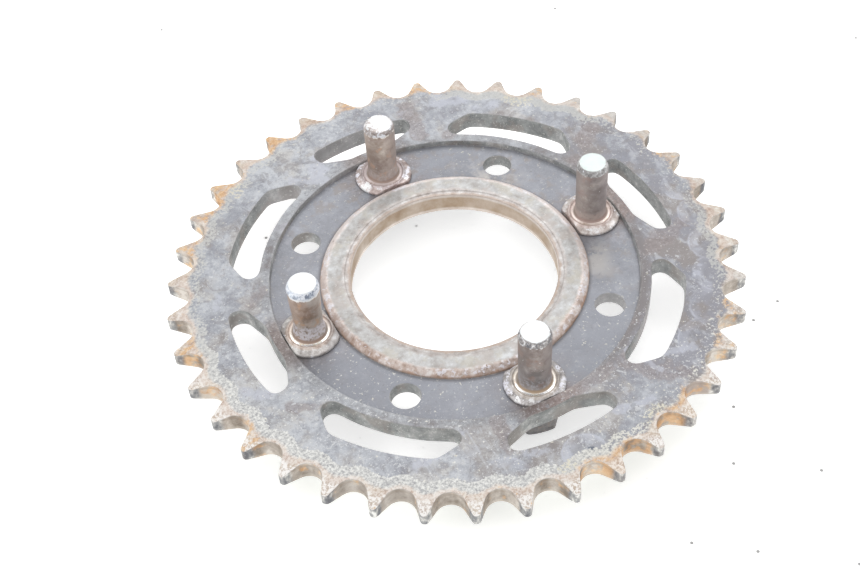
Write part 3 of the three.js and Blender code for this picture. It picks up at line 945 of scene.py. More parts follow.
    def normal_z(self):
        g = self.t.nodes.new("ShaderNodeNewGeometry")
        return self.split(g.outputs["Normal"])[2]

    def attribute(self, name):
        n = self.t.nodes.new("ShaderNodeAttribute")
        n.attribute_name = name
        return n.outputs["Fac"]

    def bump(self, height, strength, distance_mm):
        n = self.t.nodes.new("ShaderNodeBump")
        n.inputs["Strength"].default_value = strength
        n.inputs["Distance"].default_value = distance_mm * MM
        self.put(n.inputs["Height"], height)
        return n.outputs[0]

    def polar(self):
        """Radius in mm, angle in degrees (-180 to 180) and height above the plate's middle plane in mm."""
        x, y, z = self.split(self.pos)
        r = self.mul(self.math("SQRT", self.add(self.mul(x, x), self.mul(y, y))), 1000.0)
        a = self.mul(self.math("ARCTAN2", y, x), 180 / math.pi)
        h = self.sub(self.mul(z, 1000.0), Z0)
        return r, a, h

    def spot(self, x_mm, y_mm, rad_in, rad_out, wobble=None):
        """1 near a point of the plate, fading out; wobble bends its edge."""
        x, y, z = self.split(self.pos)
        dx, dy = self.sub(self.mul(x, 1000.0), x_mm), self.sub(self.mul(y, 1000.0), y_mm)
        d = self.math("SQRT", self.add(self.mul(dx, dx), self.mul(dy, dy)))
        if wobble is not None:
            d = self.add(d, wobble)
        return self.step(d, rad_out, rad_in)


# ---------------------------------------------------------------------------
# plate material
# ---------------------------------------------------------------------------
def plate_material():
    m = Nodes("plate_steel_worn")
    r, a, h = m.polar()
    x, y, z = m.split(m.pos)
    nz = m.normal_z()
    up = m.step(nz, 0.35, 0.75)
    wall = m.step(m.math("ABSOLUTE", nz), 0.80, 0.55)
    back = m.step(nz, -0.3, -0.7)
    edge = m.attribute("edge")

    cloud = m.noise(0.05, 3, 0.5, 1)
    mid = m.noise(0.16, 5, 0.6, 2)
    fine = m.noise(0.75, 5, 0.7, 3)
    grit = m.noise(2.2, 4, 0.75, 4)
    grain = m.noise(1.35, 3, 0.7, 25)
    wob = m.mul(m.sub(m.noise(0.35, 4, 0.6, 5), 0.5), 3.0)

    part = m.attribute                    # how strong each stretch of the rim, set on the mesh, is here

    def most(*v):
        out = v[0]
        for q in v[1:]:
            out = m.maxi(out, q)
        return out

    def patch(deg, rad, size, thick, noise_value, soft=0.10):
        """A ragged patch centred on an angle and a radius."""
        px, py = polar_point(rad, deg)
        s = m.spot(px, py, size * 0.2, size, wob)
        return m.step(m.add(noise_value, m.mul(s, thick)), 0.5 + thick * 0.55, 0.5 + thick * 0.55 + soft)

    # web in the recess: smooth blue-grey
    t = m.blend((cloud, 0.4), (mid, 0.45), (fine, 0.4), (grit, 0.3))
    web = m.tones(t, [(141, 142, 149), (151, 153, 160), (161, 163, 171), (170, 173, 181), (186, 188, 195)], 1.33)
    farweb = part("farweb")
    web = m.mix(m.mul(m.mul(m.step(m.noise(0.22, 4, 0.6, 26), 0.50, 0.64), 0.8), farweb), web, lit((162, 156, 154), 1.33))
    web = m.mix(m.mul(m.step(m.noise(0.30, 4, 0.6, 31), 0.58, 0.68), 0.6), web, lit((182, 183, 190), 1.33))
    web = m.mix(m.mul(m.mul(part("webpale"), m.step(r, 47.0, 41.0)), m.step(mid, 0.40, 0.55)), web, lit((190, 187, 186), 1.33))
    web = m.mix(m.mul(part("webblue"), 0.30), web, lit((150, 153, 162), 1.33))
    # rim: paler, dusty
    def total(*v):
        out = v[0]
        for q in v[1:]:
            out = m.add(out, q)
        return out

    t = m.add(m.blend((cloud, 0.3), (mid, 0.8), (m.noise(0.4, 4, 0.6, 32), 0.5), (fine, 0.6), (grit, 0.45)), part("tilt"))
    rim = m.tones(t, [(160, 160, 168), (169, 171, 179), (181, 184, 191), (196, 199, 206), (214, 217, 222)])
    warm = m.tones(t, [(158, 152, 151), (169, 164, 163), (181, 178, 178), (196, 194, 194), (213, 212, 211)])
    hue = m.step(m.add(m.noise(0.075, 4, 0.6, 33), part("warmth")), 0.47, 0.60)
    rim = m.mix(hue, rim, warm)
    inner_rim = m.tones(t, [(143, 138, 139), (155, 153, 156), (168, 169, 173), (182, 184, 189), (198, 201, 206)])
    rim = m.mix(m.step(m.add(r, wob), 57.0, 53.2), rim, inner_rim)
    base = m.mix(m.step(r, 52.1, 52.5), web, rim)

    # pale films and streaks on the rim
    wet = m.scaled(m.pos, (1.0, 0.45, 1.0))
    film = m.mul(m.step(m.noise(0.26, 5, 0.68, 27, vec=wet, distort=0.6), 0.53, 0.62), m.step(r, 53.5, 57.0))
    base = m.mix(m.mul(film, 0.55), base, lit((207, 210, 217), UP))
    smear = m.mul(m.step(m.noise(0.16, 5, 0.7, 34, distort=0.8), 0.55, 0.60), m.step(r, 53.5, 57.0))
    base = m.mix(m.mul(smear, 0.45), base, lit((150, 147, 150), UP))
    chips = m.mul(m.step(m.noise(0.55, 3, 0.6, 35), 0.66, 0.69), m.step(r, 53.5, 57.0))
    base = m.mix(m.mul(chips, 0.4), base, lit((216, 219, 226), UP))
    slate = m.step(m.add(m.mul(m.attribute("slate"), 0.32), m.blend((mid, 1.0), (fine, 0.3))), 0.64, 0.80)
    base = m.mix(m.mul(slate, 0.6), base, lit((150, 152, 162), UP))
    base = m.mix(m.mul(patch(295.5, 71.6, 1.9, 0.7, fine), 0.85), base, lit((104, 112, 128), UP))
    lumps = m.blend((mid, 1.0), (fine, 0.3))
    brown = m.step(m.add(m.mul(m.attribute("brown"), 0.32), lumps), 0.62, 0.76)
    base = m.mix(m.mul(brown, m.mul(m.step(r, 52.2, 52.8), 0.62)), base, m.tones(m.blend((fine, 1.0), (grit, 0.6)), [(132, 122, 122), (146, 136, 136), (160, 150, 150), (172, 163, 163), (192, 186, 186)], UP))
    veil = m.step(m.add(m.mul(m.attribute("veil"), 0.32), lumps), 0.64, 0.78)
    base = m.mix(m.mul(veil, 0.6), base, lit((207, 210, 222), UP))
    # arcs and lines that the chain's side plates have rubbed
    arcs = None
    for deg, c_r, rad in ((21.0, 73.0, 5.4), (12.0, 73.2, 5.8), (2.5, 73.2, 6.2), (-6.5, 73.4, 6.6), (-16.0, 73.6, 7.4), (-26.0, 74.0, 8.4), (-66.0, 72.0, 6.0), (-83.0, 72.5, 6.5)):
        cx, cy = polar_point(c_r, deg)
        dx, dy = m.sub(m.mul(x, 1000.0), cx), m.sub(m.mul(y, 1000.0), cy)
        d = m.add(m.math("SQRT", m.add(m.mul(dx, dx), m.mul(dy, dy))), m.mul(wob, 0.35))
        one = m.mul(m.band(d, rad - 0.35, rad + 0.25, 0.3), m.step(r, 72.6, 71.2))
        halo = m.mul(m.mul(m.band(d, rad - 2.6, rad, 0.5), m.step(r, 72.6, 71.2)), 0.55)
        one = m.maxi(one, halo)
        arcs = one if arcs is None else m.maxi(arcs, one)
    base = m.mix(m.mul(m.mul(arcs, m.step(mid, 0.36, 0.60, 0.12, 1.0)), 0.62), base, lit((214, 217, 230), UP))
    marks = m.noise(0.05, 2, 0.5, 36, vec=m.scaled(m.pos, (14.0, 1.0, 1.0)))
    marks = m.mul(m.step(marks, 0.60, 0.66), m.mul(part("marks"), m.step(r, 54.0, 57.0)))
    base = m.mix(m.mul(marks, 0.4), base, lit((216, 219, 226), UP))

    # dust specks, denser on the near side
    near = part("near")
    clump = m.step(m.noise(0.14, 4, 0.6, 7), 0.40, 0.62)
    gate = m.sub(m.sub(0.712, m.mul(near, 0.050)), m.mul(clump, 0.072))
    grain2 = m.noise(0.8, 3, 0.6, 43)
    speck = m.maxi(m.step(m.sub(grain, gate), 0.0, 0.03), m.mul(m.step(m.sub(grain2, gate), 0.0, 0.02), 0.8))
    speck = m.mul(speck, m.step(m.add(r, wob), 50.0, 54.0, 0.06, 1.0))
    sow = m.mul(m.mul(m.step(m.add(r, wob), 64.0, 73.0), m.step(part("pale"), 0.1, 0.6)), 0.10)
    crumbs = m.step(m.add(m.noise(2.2, 2, 0.6, 52), sow), 0.69, 0.75, 0.0, 0.8)
    speck = m.maxi(speck, m.mul(crumbs, m.mul(m.step(r, 56.0, 62.0), m.step(near, 0.2, 0.8, 0.35, 1.0))))
    base = m.mix(m.mul(speck, 0.9), base, lit((240, 242, 245), UP))
    pits = m.mul(m.step(m.noise(1.1, 3, 0.6, 37), 0.64, 0.68), 0.5)
    base = m.mix(pits, base, lit((146, 145, 150), UP))

    # reddish stain round each pin's foot, over the step and on to the rim
    red = m.step(m.sub(part("red"), m.mul(wob, 0.155)), 0.0, 1.0)
    red = m.mul(red, m.mul(m.step(m.add(r, wob), 61.0, 55.5), m.step(r, 46.0, 49.5)))
    red = m.mul(red, m.step(m.blend((m.noise(0.22, 4, 0.6, 8), 1.0), (fine, 0.5)), 0.30, 0.46))
    foot = m.mul(m.step(m.sub(part("foot"), m.mul(wob, 0.225)), 0.0, 1.0), part("footw"))
    foot = m.mul(foot, m.step(m.noise(0.2, 4, 0.6, 24), 0.38, 0.54))
    stain = m.tones(m.blend((fine, 1.0), (grit, 0.6)), [(138, 122, 117), (151, 135, 130), (164, 149, 145), (176, 163, 160), (192, 183, 181)])
    dark_stain = m.tones(m.blend((fine, 1.0), (grit, 0.6)), [(118, 108, 106), (132, 121, 118), (147, 136, 132), (160, 150, 147), (180, 172, 170)])
    stain = m.mix(m.mul(part("darkfoot"), 0.8), stain, dark_stain)
    base = m.mix(m.mul(m.maxi(red, m.mul(foot, 0.7)), 0.9), base, stain)
    base = m.mix(m.mul(m.mul(red, speck), 0.9), base, lit((224, 222, 224), UP))

    # dust and rust thicken towards the teeth, in grains, outside a scalloped line
    pitch = 360 / TEETH
    ph = m.mul(m.sub(a, TOOTH_PHASE), 2 * math.pi / pitch)
    scallop = m.mul(m.math("COSINE", ph), 0.9)
    rt = m.sub(m.add(r, m.mul(m.sub(m.noise(0.40, 5, 0.65, 9), 0.5), 2.0)), scallop)
    rl = m.sub(rt, part("late"))
    thick = m.step(rl, 70.7, 72.2)
    pale = m.step(m.add(m.blend((grain, 1.0), (fine, 0.8)), m.mul(thick, part("pale"))), 0.66, 0.73)
    pale_col = m.tones(m.blend((grain, 1.1), (grit, 0.8), (fine, 0.5)), [(178, 178, 180), (200, 200, 200), (221, 221, 219), (236, 236, 233), (250, 250, 247)], 1.28)
    pale_col = m.mix(part("creamy"), pale_col, lit((238, 234, 220), 1.42))
    pale_col = m.mix(m.mul(m.step(near, 0.9, 0.3), 0.75), pale_col, lit((222, 222, 218), 1.38))
    base = m.mix(m.mul(pale, m.step(near, 0.2, 0.9, 0.7, 1.0)), base, pale_col)
    yel = m.step(m.add(m.mul(m.attribute("cream"), 0.30), m.blend((fine, 0.9), (grain, 0.5))), 0.64, 0.74)
    base = m.mix(m.mul(m.mul(yel, m.step(m.blend((grain, 1.0), (fine, 0.6)), 0.50, 0.58)), 0.7), base, lit((243, 236, 212), 1.42))
    tooth = m.step(m.add(rl, m.mul(m.sub(fine, 0.5), 2.4)), 73.9, 75.3)
    t = m.blend((m.noise(0.3, 4, 0.6, 11), 0.7), (fine, 0.55), (grit, 0.35), (grain, 0.35))
    tan = m.tones(t, [(180, 156, 136), (200, 180, 161), (217, 203, 187), (229, 219, 206), (243, 238, 229)], 1.26)
    grey = m.tones(t, [(178, 170, 164), (194, 188, 182), (208, 203, 198), (219, 215, 210), (232, 229, 224)], 1.26)
    pink = m.tones(t, [(184, 166, 158), (200, 185, 177), (214, 202, 195), (226, 218, 212), (242, 238, 233)], 1.26)
    dusty = m.mul(near, m.step(m.blend((grain, 1.2), (grit, 0.6), (fine, 0.5)), 0.42, 0.53, 0.15, 1.0))
    cool = m.mul(part("cool"), m.step(mid, 0.30, 0.50))
    tan = m.mix(m.mul(m.step(mid, 0.42, 0.58), 0.6), tan, pink)
    tan = m.mix(cool, tan, grey)
    root = m.step(m.add(rt, m.mul(m.sub(fine, 0.5), 1.6)), 77.6, 76.2)
    tan = m.mix(m.mul(m.mul(root, m.step(mid, 0.30, 0.50)), 0.55), tan, m.tones(t, [(192, 166, 150), (208, 186, 172), (223, 206, 194), (232, 220, 210), (243, 237, 231)], 1.22))
    tan = m.mix(m.mul(dusty, m.sub(0.95, m.mul(root, 0.60))), tan, lit((250, 247, 244), 1.14))
    base = m.mix(tooth, base, tan)

    # orange rust on some teeth, mostly at the near right and the far left
    spread = m.mul(part("rust"), 0.24)
    orange = m.step(m.add(m.blend((m.noise(0.35, 5, 0.65, 12), 0.9), (fine, 0.6)), spread), 0.62, 0.75)
    orange = m.mul(orange, m.mul(m.step(rt, 73.6, 75.6), m.sub(1.0, m.mul(m.mul(part("rootonly"), m.step(rt, 75.2, 76.8)), 0.8))))
    ocol = m.tones(m.blend((fine, 1.0), (grit, 0.6)), [(200, 146, 98), (214, 166, 118), (228, 188, 142), (240, 206, 164), (247, 222, 190)], 1.3)
    base = m.mix(m.mul(orange, 0.9), base, ocol)

    # walls: gullets brown, slots and holes grey, bore tan
    ws = 0.95
    tall = m.scaled(m.pos, (1.0, 1.0, 0.22))
    t = m.blend((m.noise(0.22, 2, 0.5, 13, vec=tall), 0.9), (mid, 0.5), (fine, 0.42), (grit, 0.22))
    gul = m.tones(t, [(126, 115, 104), (148, 138, 127), (173, 164, 154), (195, 187, 178), (218, 212, 204)], ws)
    gul = m.mix(part("gul_dark"), gul, lit((152, 144, 137), ws))
    gul = m.mix(part("gul_pale"), gul, lit((216, 206, 194), ws))
    gul = m.mix(part("gul_red"), gul, lit((176, 164, 158), ws))
    gspread = m.maxi(spread, part("gul_rust"))
    g_or = m.step(m.add(m.noise(0.28, 4, 0.6, 14), m.mul(gspread, 0.85)), 0.56, 0.72)
    gul = m.mix(m.mul(g_or, 0.85), gul, m.tones(t, [(176, 134, 92), (196, 154, 112), (214, 174, 130), (226, 192, 150), (234, 210, 176)], ws))
    # painted shade: a little darker under the front edge; painted reflection: paler low down
    gul = m.mix(m.mul(m.band(m.add(h, m.mul(wob, 0.08)), 1.6, 2.3, 0.35), 0.35), gul, lit((150, 134, 120), ws))
    gul = m.mix(m.mul(m.step(m.add(h, m.mul(wob, 0.12)), -1.2, -2.4), 0.35), gul, lit((205, 196, 184), ws))
    # worn tooth tips: dark grey, with painted highlight streaks in the lightest tones
    lumpy = m.scaled(m.pos, (1.0, 1.0, 0.6))
    tip_t = m.blend((m.noise(0.42, 4, 0.6, 39, vec=lumpy), 1.1), (m.noise(1.3, 3, 0.6, 45, vec=lumpy), 0.5), (fine, 0.25), (mid, 0.4))
    tip_grey_and_highlights = m.tones(tip_t, [(104, 106, 112), (126, 128, 132), (154, 155, 156), (190, 189, 186), (238, 238, 234)], 1.0)
    gul = m.mix(m.mul(m.step(m.add(r, m.mul(wob, 0.3)), 78.4, 80.0), 0.92), gul, tip_grey_and_highlights)
    slotw = m.tones(m.blend((m.noise(0.16, 3, 0.6, 40), 0.9), (fine, 0.5), (grit, 0.35)), [(116, 118, 117), (131, 133, 133), (147, 149, 149), (163, 164, 164), (188, 188, 187)], 0.82)
    slotw = m.mix(m.mul(m.step(m.noise(0.1, 3, 0.6, 44), 0.50, 0.62), 0.5), slotw, lit((150, 140, 134), 0.82))
    slotw = m.mix(part("slot_pale"), slotw, lit((176, 172, 174), 0.82))
    slotw = m.mix(m.mul(m.step(grain, 0.61, 0.64), 0.7), slotw, lit((206, 207, 204), 0.8))
    t = m.blend((m.noise(0.12, 3, 0.55, 15), 0.9), (fine, 0.35), (grit, 0.15))
    borew = m.tones(t, [(160, 139, 118), (171, 152, 132), (181, 165, 149), (191, 177, 163), (204, 192, 180)], 0.96)
    borew_top = m.tones(t, [(184, 172, 163), (194, 184, 176), (204, 195, 188), (213, 205, 199), (224, 217, 212)], 0.97)
    borew = m.mix(m.mul(m.step(m.add(h, m.mul(wob, 0.3)), -1.9, -2.8), 0.9), borew, m.gain(borew_top, 1.22))
    borew = m.mix(m.step(m.add(h, m.mul(wob, 0.25)), 1.5, 2.1), borew, borew_top)
    w = m.mix(m.step(r, 71.0, 73.0), slotw, gul)
    w = m.mix(m.step(r, 33.0, 31.0), w, borew)
    base = m.mix(wall, base, w)

    # ring round the bore: light beige top, rusty chamfer, pink-orange band at the bore
    blotch = m.noise(0.16, 4, 0.6, 41)
    t = m.blend((m.noise(0.22, 5, 0.6, 16), 0.8), (m.noise(0.5, 4, 0.6, 17), 0.6), (fine, 0.4), (grit, 0.3))
    ringtop = m.tones(t, [(178, 173, 169), (192, 189, 187), (205, 204, 203), (216, 216, 216), (231, 233, 235)], 1.40)
    ringtop = m.mix(m.mul(m.step(m.noise(0.20, 5, 0.65, 28), 0.50, 0.62), 0.5), ringtop, lit((209, 203, 189), 1.38))
    ringtop = m.mix(m.mul(m.step(blotch, 0.54, 0.64), 0.55), ringtop, lit((200, 190, 184), 1.38))
    rustmix = m.blend((m.noise(0.3, 5, 0.65, 18), 1.1), (fine, 0.5), (grit, 0.2))
    far = part("far")
    rust = m.tones(rustmix, [(156, 132, 119), (176, 155, 143), (197, 180, 171), (212, 200, 194), (226, 220, 217)], 1.0)
    rust = m.mix(m.mul(far, 0.72), rust, lit((219, 211, 208), 0.92))
    rust = m.mix(part("ring_dark"), rust, m.tones(rustmix, [(134, 120, 114), (150, 134, 128), (168, 154, 148), (186, 174, 169), (210, 203, 200)], 1.0))
    bloom = m.step(m.blend((m.noise(0.7, 4, 0.65, 20), 1.3), (blotch, 0.6)), 0.56, 0.66)
    rr = m.add(r, m.mul(wob, 0.7))
    chamf = m.mix(m.mul(m.mul(bloom, m.step(rr, 38.0, 37.2)), 0.85), rust, lit((236, 234, 240), 1.10))
    chamf = m.mix(m.mul(m.step(rr, 37.45, 38.05), m.step(blotch, 0.42, 0.56, 0.2, 0.7)), chamf, lit((182, 146, 122), 1.0))
    chamf = m.mix(m.mul(m.step(m.noise(0.6, 4, 0.7, 42), 0.60, 0.68), 0.5), chamf, lit((140, 122, 116), 1.1))
    inner = m.tones(m.blend((m.noise(0.45, 4, 0.65, 21), 1.2), (grit, 0.3)), [(180, 170, 164), (196, 187, 182), (209, 202, 199), (218, 213, 210), (237, 235, 233)], 1.32)
    inner = m.gain(inner, m.add(m.mul(far, 0.24), 0.87))
    inner = m.mix(m.mul(m.step(rr, 30.35, 29.9), 0.5), inner, lit((186, 158, 136), 1.2))
    ring = m.mix(m.step(rr, 35.2, 36.6), ringtop, chamf)
    ring = m.mix(m.mul(m.step(rr, 32.3, 31.2), 0.92), ring, inner)
    ring = m.mix(m.mul(m.step(grain, 0.63, 0.66), 0.6), ring, lit((238, 236, 234), 1.38))
    on_ring = m.mul(m.step(r, 38.35, 38.15), m.step(h, WEB_Z + 0.15, WEB_Z + 0.5))
    on_ring = m.mul(on_ring, m.maxi(up, m.step(r, 33.0, 36.0)))
    base = m.mix(on_ring, base, ring)

    # painted shade in the corners of the recess: a dark band at the ring's foot and under the step
    corner_shade = m.maxi(m.band(r, 37.9, 38.8, 0.35), m.mul(m.mul(m.band(r, 51.8, 52.33, 0.2), m.step(h, RIM + 0.1, RIM - 0.3)), 0.6))
    corner_shade = m.mul(corner_shade, m.mul(m.step(nz, -0.5, 0.0), m.step(h, BOSS - 1.2, WEB_Z + 0.6)))
    base = m.mix(m.mul(corner_shade, 0.35), base, lit((124, 119, 121), UP))

    # back: plainer, browner
    t = m.blend((cloud, 0.5), (mid, 0.7), (fine, 0.7), (grit, 0.4))
    backc = m.tones(t, [(134, 130, 131), (149, 146, 147), (164, 162, 163), (178, 176, 177), (196, 193, 191)])
    backc = m.mix(m.mul(m.step(m.blend((m.noise(0.2, 5, 0.65, 22), 1.0), (fine, 0.5)), 0.55, 0.70), 0.75), backc, lit((164, 146, 134), UP))
    backc = m.mix(m.mul(speck, 0.5), backc, lit((214, 213, 211), UP))
    backc = m.mix(m.mul(pale, 0.6), backc, pale_col)
    backc = m.mix(m.mul(tooth, 0.9), backc, tan)
    backc = m.mix(m.mul(orange, 0.8), backc, ocol)
    backc = m.mix(m.mul(m.step(r, 36.6, 36.0), 0.8), backc, ringtop)
    base = m.mix(back, base, backc)

    # worn edges, and a painted highlight along the rounded edges
    edge_wear_and_highlight = m.mul(m.step(edge, 0.30, 0.9), m.step(m.noise(0.6, 4, 0.6, 23), 0.38, 0.62))
    edge_wear_and_highlight = m.mul(edge_wear_and_highlight, m.step(r, 40.0, 42.0, 0.3, 1.0))
    base = m.mix(m.mul(edge_wear_and_highlight, 0.55), base, lit((226, 224, 220), UP))

    m.put(m.bsdf.inputs["Base Color"], base)
    rough = m.add(0.44, m.mul(fine, 0.24))
    rough = m.add(rough, m.mul(m.maxi(tooth, m.maxi(speck, pale)), 0.16))
    rough = m.add(rough, m.mul(wall, 0.08), clamp=True)
    m.put(m.bsdf.inputs["Roughness"], rough)
    metal = m.sub(0.40, m.mul(m.maxi(tooth, m.maxi(orange, speck)), 0.3), clamp=True)
    m.put(m.bsdf.inputs["Metallic"], metal)
    hgt = m.add(m.mul(fine, 0.6), m.add(m.mul(grit, 0.35), m.mul(mid, 0.3)))
    hgt = m.add(hgt, m.mul(speck, 0.3))
    m.put(m.bsdf.inputs["Normal"], m.bump(hgt, 0.45, 0.12))
    return m.mat


def pin_material(k):
    m = Nodes(f"pin_steel_worn_{k + 1}")
    px, py = PIN_XY[k]
    x, y, z = m.split(m.pos)
    dx, dy = m.sub(m.mul(x, 1000.0), px), m.sub(m.mul(y, 1000.0), py)
    d = m.math("SQRT", m.add(m.mul(dx, dx), m.mul(dy, dy)))
    h = m.sub(m.mul(z, 1000.0), Z0)
    nz = m.normal_z()
    s = 10.0 * k
    n1 = m.noise(0.35, 5, 0.6, s + 1)
    n2 = m.noise(1.1, 5, 0.65, s + 2)
    n3 = m.noise(2.6, 4, 0.7, s + 3)
    # left to right across the shank, as it lies in front of the camera's usual place
    side = m.add(m.mul(dx, math.cos(24.6 * RAD) / 4.5), m.mul(dy, -math.sin(24.6 * RAD) / 4.5))
    front = m.math("DIVIDE", m.add(m.mul(dx, -math.sin(24.6 * RAD)), m.mul(dy, -math.cos(24.6 * RAD))), d)
    low, high, right = [
        ([(114, 106, 103), (124, 116, 113), (134, 126, 123), (146, 138, 134), (164, 156, 151)],
         [(110, 102, 100), (119, 111, 109), (129, 121, 118), (142, 134, 131), (162, 155, 151)], ((138, 129, 130), (134, 125, 121))),
        ([(116, 104, 98), (128, 115, 109), (141, 129, 123), (152, 142, 137), (170, 163, 159)],
         [(112, 99, 91), (126, 113, 105), (141, 128, 120), (155, 144, 136), (173, 165, 158)], ((156, 145, 140), (144, 128, 117))),
        ([(118, 106, 97), (134, 122, 113), (150, 138, 130), (164, 154, 147), (182, 175, 171)],
         [(118, 100, 88), (133, 115, 104), (149, 132, 122), (162, 148, 139), (180, 171, 165)], ((150, 147, 143), (141, 125, 114))),
        ([(112, 107, 106), (124, 119, 118), (138, 133, 132), (149, 145, 145), (164, 162, 164)],
         [(108, 98, 94), (121, 111, 107), (135, 126, 122), (147, 139, 136), (165, 159, 157)], ((138, 130, 128), (125, 117, 112)))][k]
    ps = 0.66
    t = m.blend((n1, 0.65), (m.noise(0.16, 3, 0.5, s + 6), 0.8), (n2, 0.28), (n3, 0.12))
    shank = m.mix(m.step(m.add(h, m.mul(m.sub(n1, 0.5), 6.0)), 9.0, 13.5), m.tones(t, low, ps), m.tones(t, high, ps))
    # partly the shank's own colour and partly painted light: its right and left sides, as the camera sees them, take
    # their own lighter or darker tones
    sn = m.add(side, m.mul(m.sub(n1, 0.5), 1.6))
    shank = m.mix(m.mul(m.step(sn, 0.15, 0.75), 0.55), shank, lit(right[0], ps))
    shank = m.mix(m.mul(m.step(sn, -0.15, -0.75), 0.55), shank, lit(right[1], ps))
    warm = m.mul(m.step(m.noise(0.30, 4, 0.6, s + 7), 0.54, 0.66), 0.6 if k in (1, 2) else 0.35)
    shank = m.mix(warm, shank, lit(((138, 112, 104), (170, 140, 120), (166, 132, 104), (146, 118, 106))[k], ps))
    fleck = m.mul(m.step(m.noise(1.5, 2, 0.6, s + 8), 0.68, 0.72), m.step(m.noise(0.22, 3, 0.6, s + 9), 0.50, 0.60))
    shank = m.mix(m.mul(fleck, 0.85), shank, lit((206, 207, 214), ps))
    # pale remains near the foot
    foot = m.mul(m.step(m.add(h, m.mul(m.sub(n1, 0.5), 5.0)), (6.6, 8.0, 9.6, 8.4)[k], (5.0, 6.0, 7.0, 6.4)[k]), m.step(n2, *((0.30, 0.45), (0.45, 0.58), (0.40, 0.52), (0.50, 0.60))[k]))
    shank = m.mix(m.mul(foot, (0.7, 0.5, 0.9, 0.5)[k]), shank, lit(((160, 149, 144), (162, 153, 152), (184, 181, 186), (166, 166, 176))[k], ps))
    # the chamfer: dark, blotched, a pale worn line at its foot, then the bare end, painted white with the reflection of
    # the light behind
    hw = m.add(h, m.mul(m.sub(m.blend((n1, 1.0), (n2, 0.7)), 0.5), (0.7, 1.6, 1.7, 1.6)[k]))
    cd = [[(120, 118, 118), (140, 138, 138), (160, 158, 157), (178, 178, 178), (206, 208, 208)],
          [(132, 122, 118), (149, 139, 135), (168, 159, 156), (188, 182, 180), (216, 214, 214)],
          [(124, 131, 146), (152, 160, 174), (184, 191, 203), (212, 218, 228), (236, 240, 246)],
          [(100, 102, 108), (118, 118, 122), (140, 136, 136), (166, 162, 160), (222, 222, 224)]][k]
    dark = m.tones(m.blend((n1, 0.9), (n2, 1.0), (n3, 0.3)), cd, 0.95)
    drop = (0.0, 0.1, 0.75, 0.1)[k]        # how far down the blotched end reaches
    col = m.mix(m.step(hw, PIN_TOP - 1.75 - drop, PIN_TOP - 1.45 - drop), shank, dark)
    worn_line = m.mul(m.band(hw, PIN_TOP - 1.8 - drop * 1.3, PIN_TOP - 1.25 - drop * 0.6, 0.15), m.step(m.noise(0.9, 3, 0.6, s + 10), *((0.50, 0.60), (0.46, 0.58), (0.34, 0.46), (0.52, 0.60))[k]))
    col = m.mix(m.mul(worn_line, 0.9), col, lit(((204, 204, 206), (222, 218, 212), (240, 243, 250), (226, 228, 234))[k], 0.80))
    # rims of dark and white left by the bush
    dark = m.mix(m.mul(m.step(m.noise(0.8, 3, 0.6, s + 12), *((0.60, 0.66), (0.50, 0.60), (0.50, 0.56), (0.58, 0.64))[k]), 0.85), dark, lit((226, 228, 234), 0.95))
    col = m.mix(m.step(hw, PIN_TOP - 1.6 - drop * 0.8, PIN_TOP - 1.3 - drop * 0.8), col, dark)
    # bare steel end; its near-white colour is a painted reflection of the bright light behind
    end = m.mix(m.mul(m.step(m.blend((n3, 1.0), (n1, 0.8)), 0.52, 0.68), 0.30), lit(((236, 247, 244), (250, 252, 253), (252, 254, 255), (250, 253, 254))[k], (1.46, 1.36, 1.30, 1.36)[k]), lit((220, 226, 226), 1.42))
    ragged = m.add(d, m.mul(m.sub(m.blend((n2, 1.0), (n1, 1.2)), 0.5), (0.5, 2.4, 0.7, 1.3)[k]))
    if k == 1:      # this end is blotched on one side
        ragged = m.add(ragged, m.mul(m.mul(m.step(m.sub(m.mul(front, 0.5), side), -0.1, 0.5), m.step(d, 1.0, 2.4)), m.mul(m.step(n2, 0.42, 0.56), 3.0)))
    endmask = m.step(ragged, *((3.78, 3.55), (3.85, 3.6), (3.95, 3.75), (3.9, 3.65))[k])
    endmask = m.mul(endmask, m.step(h, PIN_TOP - 0.45, PIN_TOP - 0.2))
    col = m.mix(endmask, col, end)
    # collar: bevel, ridge, groove, a polished line with a painted highlight strongest at the front, fillet
    col_z = WEB_Z + GAP
    cb = [[(156, 144, 139), (173, 163, 158), (188, 180, 175), (200, 194, 191), (216, 213, 212)],
          [(144, 129, 125), (161, 147, 143), (178, 165, 161), (192, 182, 180), (210, 206, 208)],
          [(140, 134, 131), (160, 155, 152), (178, 174, 171), (193, 190, 187), (213, 211, 209)],
          [(126, 121, 120), (149, 145, 144), (172, 168, 167), (190, 187, 187), (212, 210, 211)]][k]
    bevel = m.tones(m.blend((n1, 1.2), (n2, 0.6), (n3, 0.2)), cb, 1.10)
    white = m.mul(m.step(m.blend((m.noise(0.8, 3, 0.6, s + 11), 1.0), (n1, 0.5)), (0.60, 0.57, 0.64, 0.56)[k], (0.66, 0.63, 0.72, 0.61)[k]), 0.9)
    bevel = m.mix(white, bevel, lit((232, 232, 240), 1.15))
    low_edge = m.mul(m.step(m.add(h, m.mul(m.sub(n1, 0.5), 1.6)), col_z + 0.75, col_z + 0.35), m.step(n1, 0.42, 0.55))
    bevel = m.mix(m.mul(low_edge, (0.35, 0.40, 0.3, 0.75)[k]), bevel, lit((112, 104, 101), 1.0))
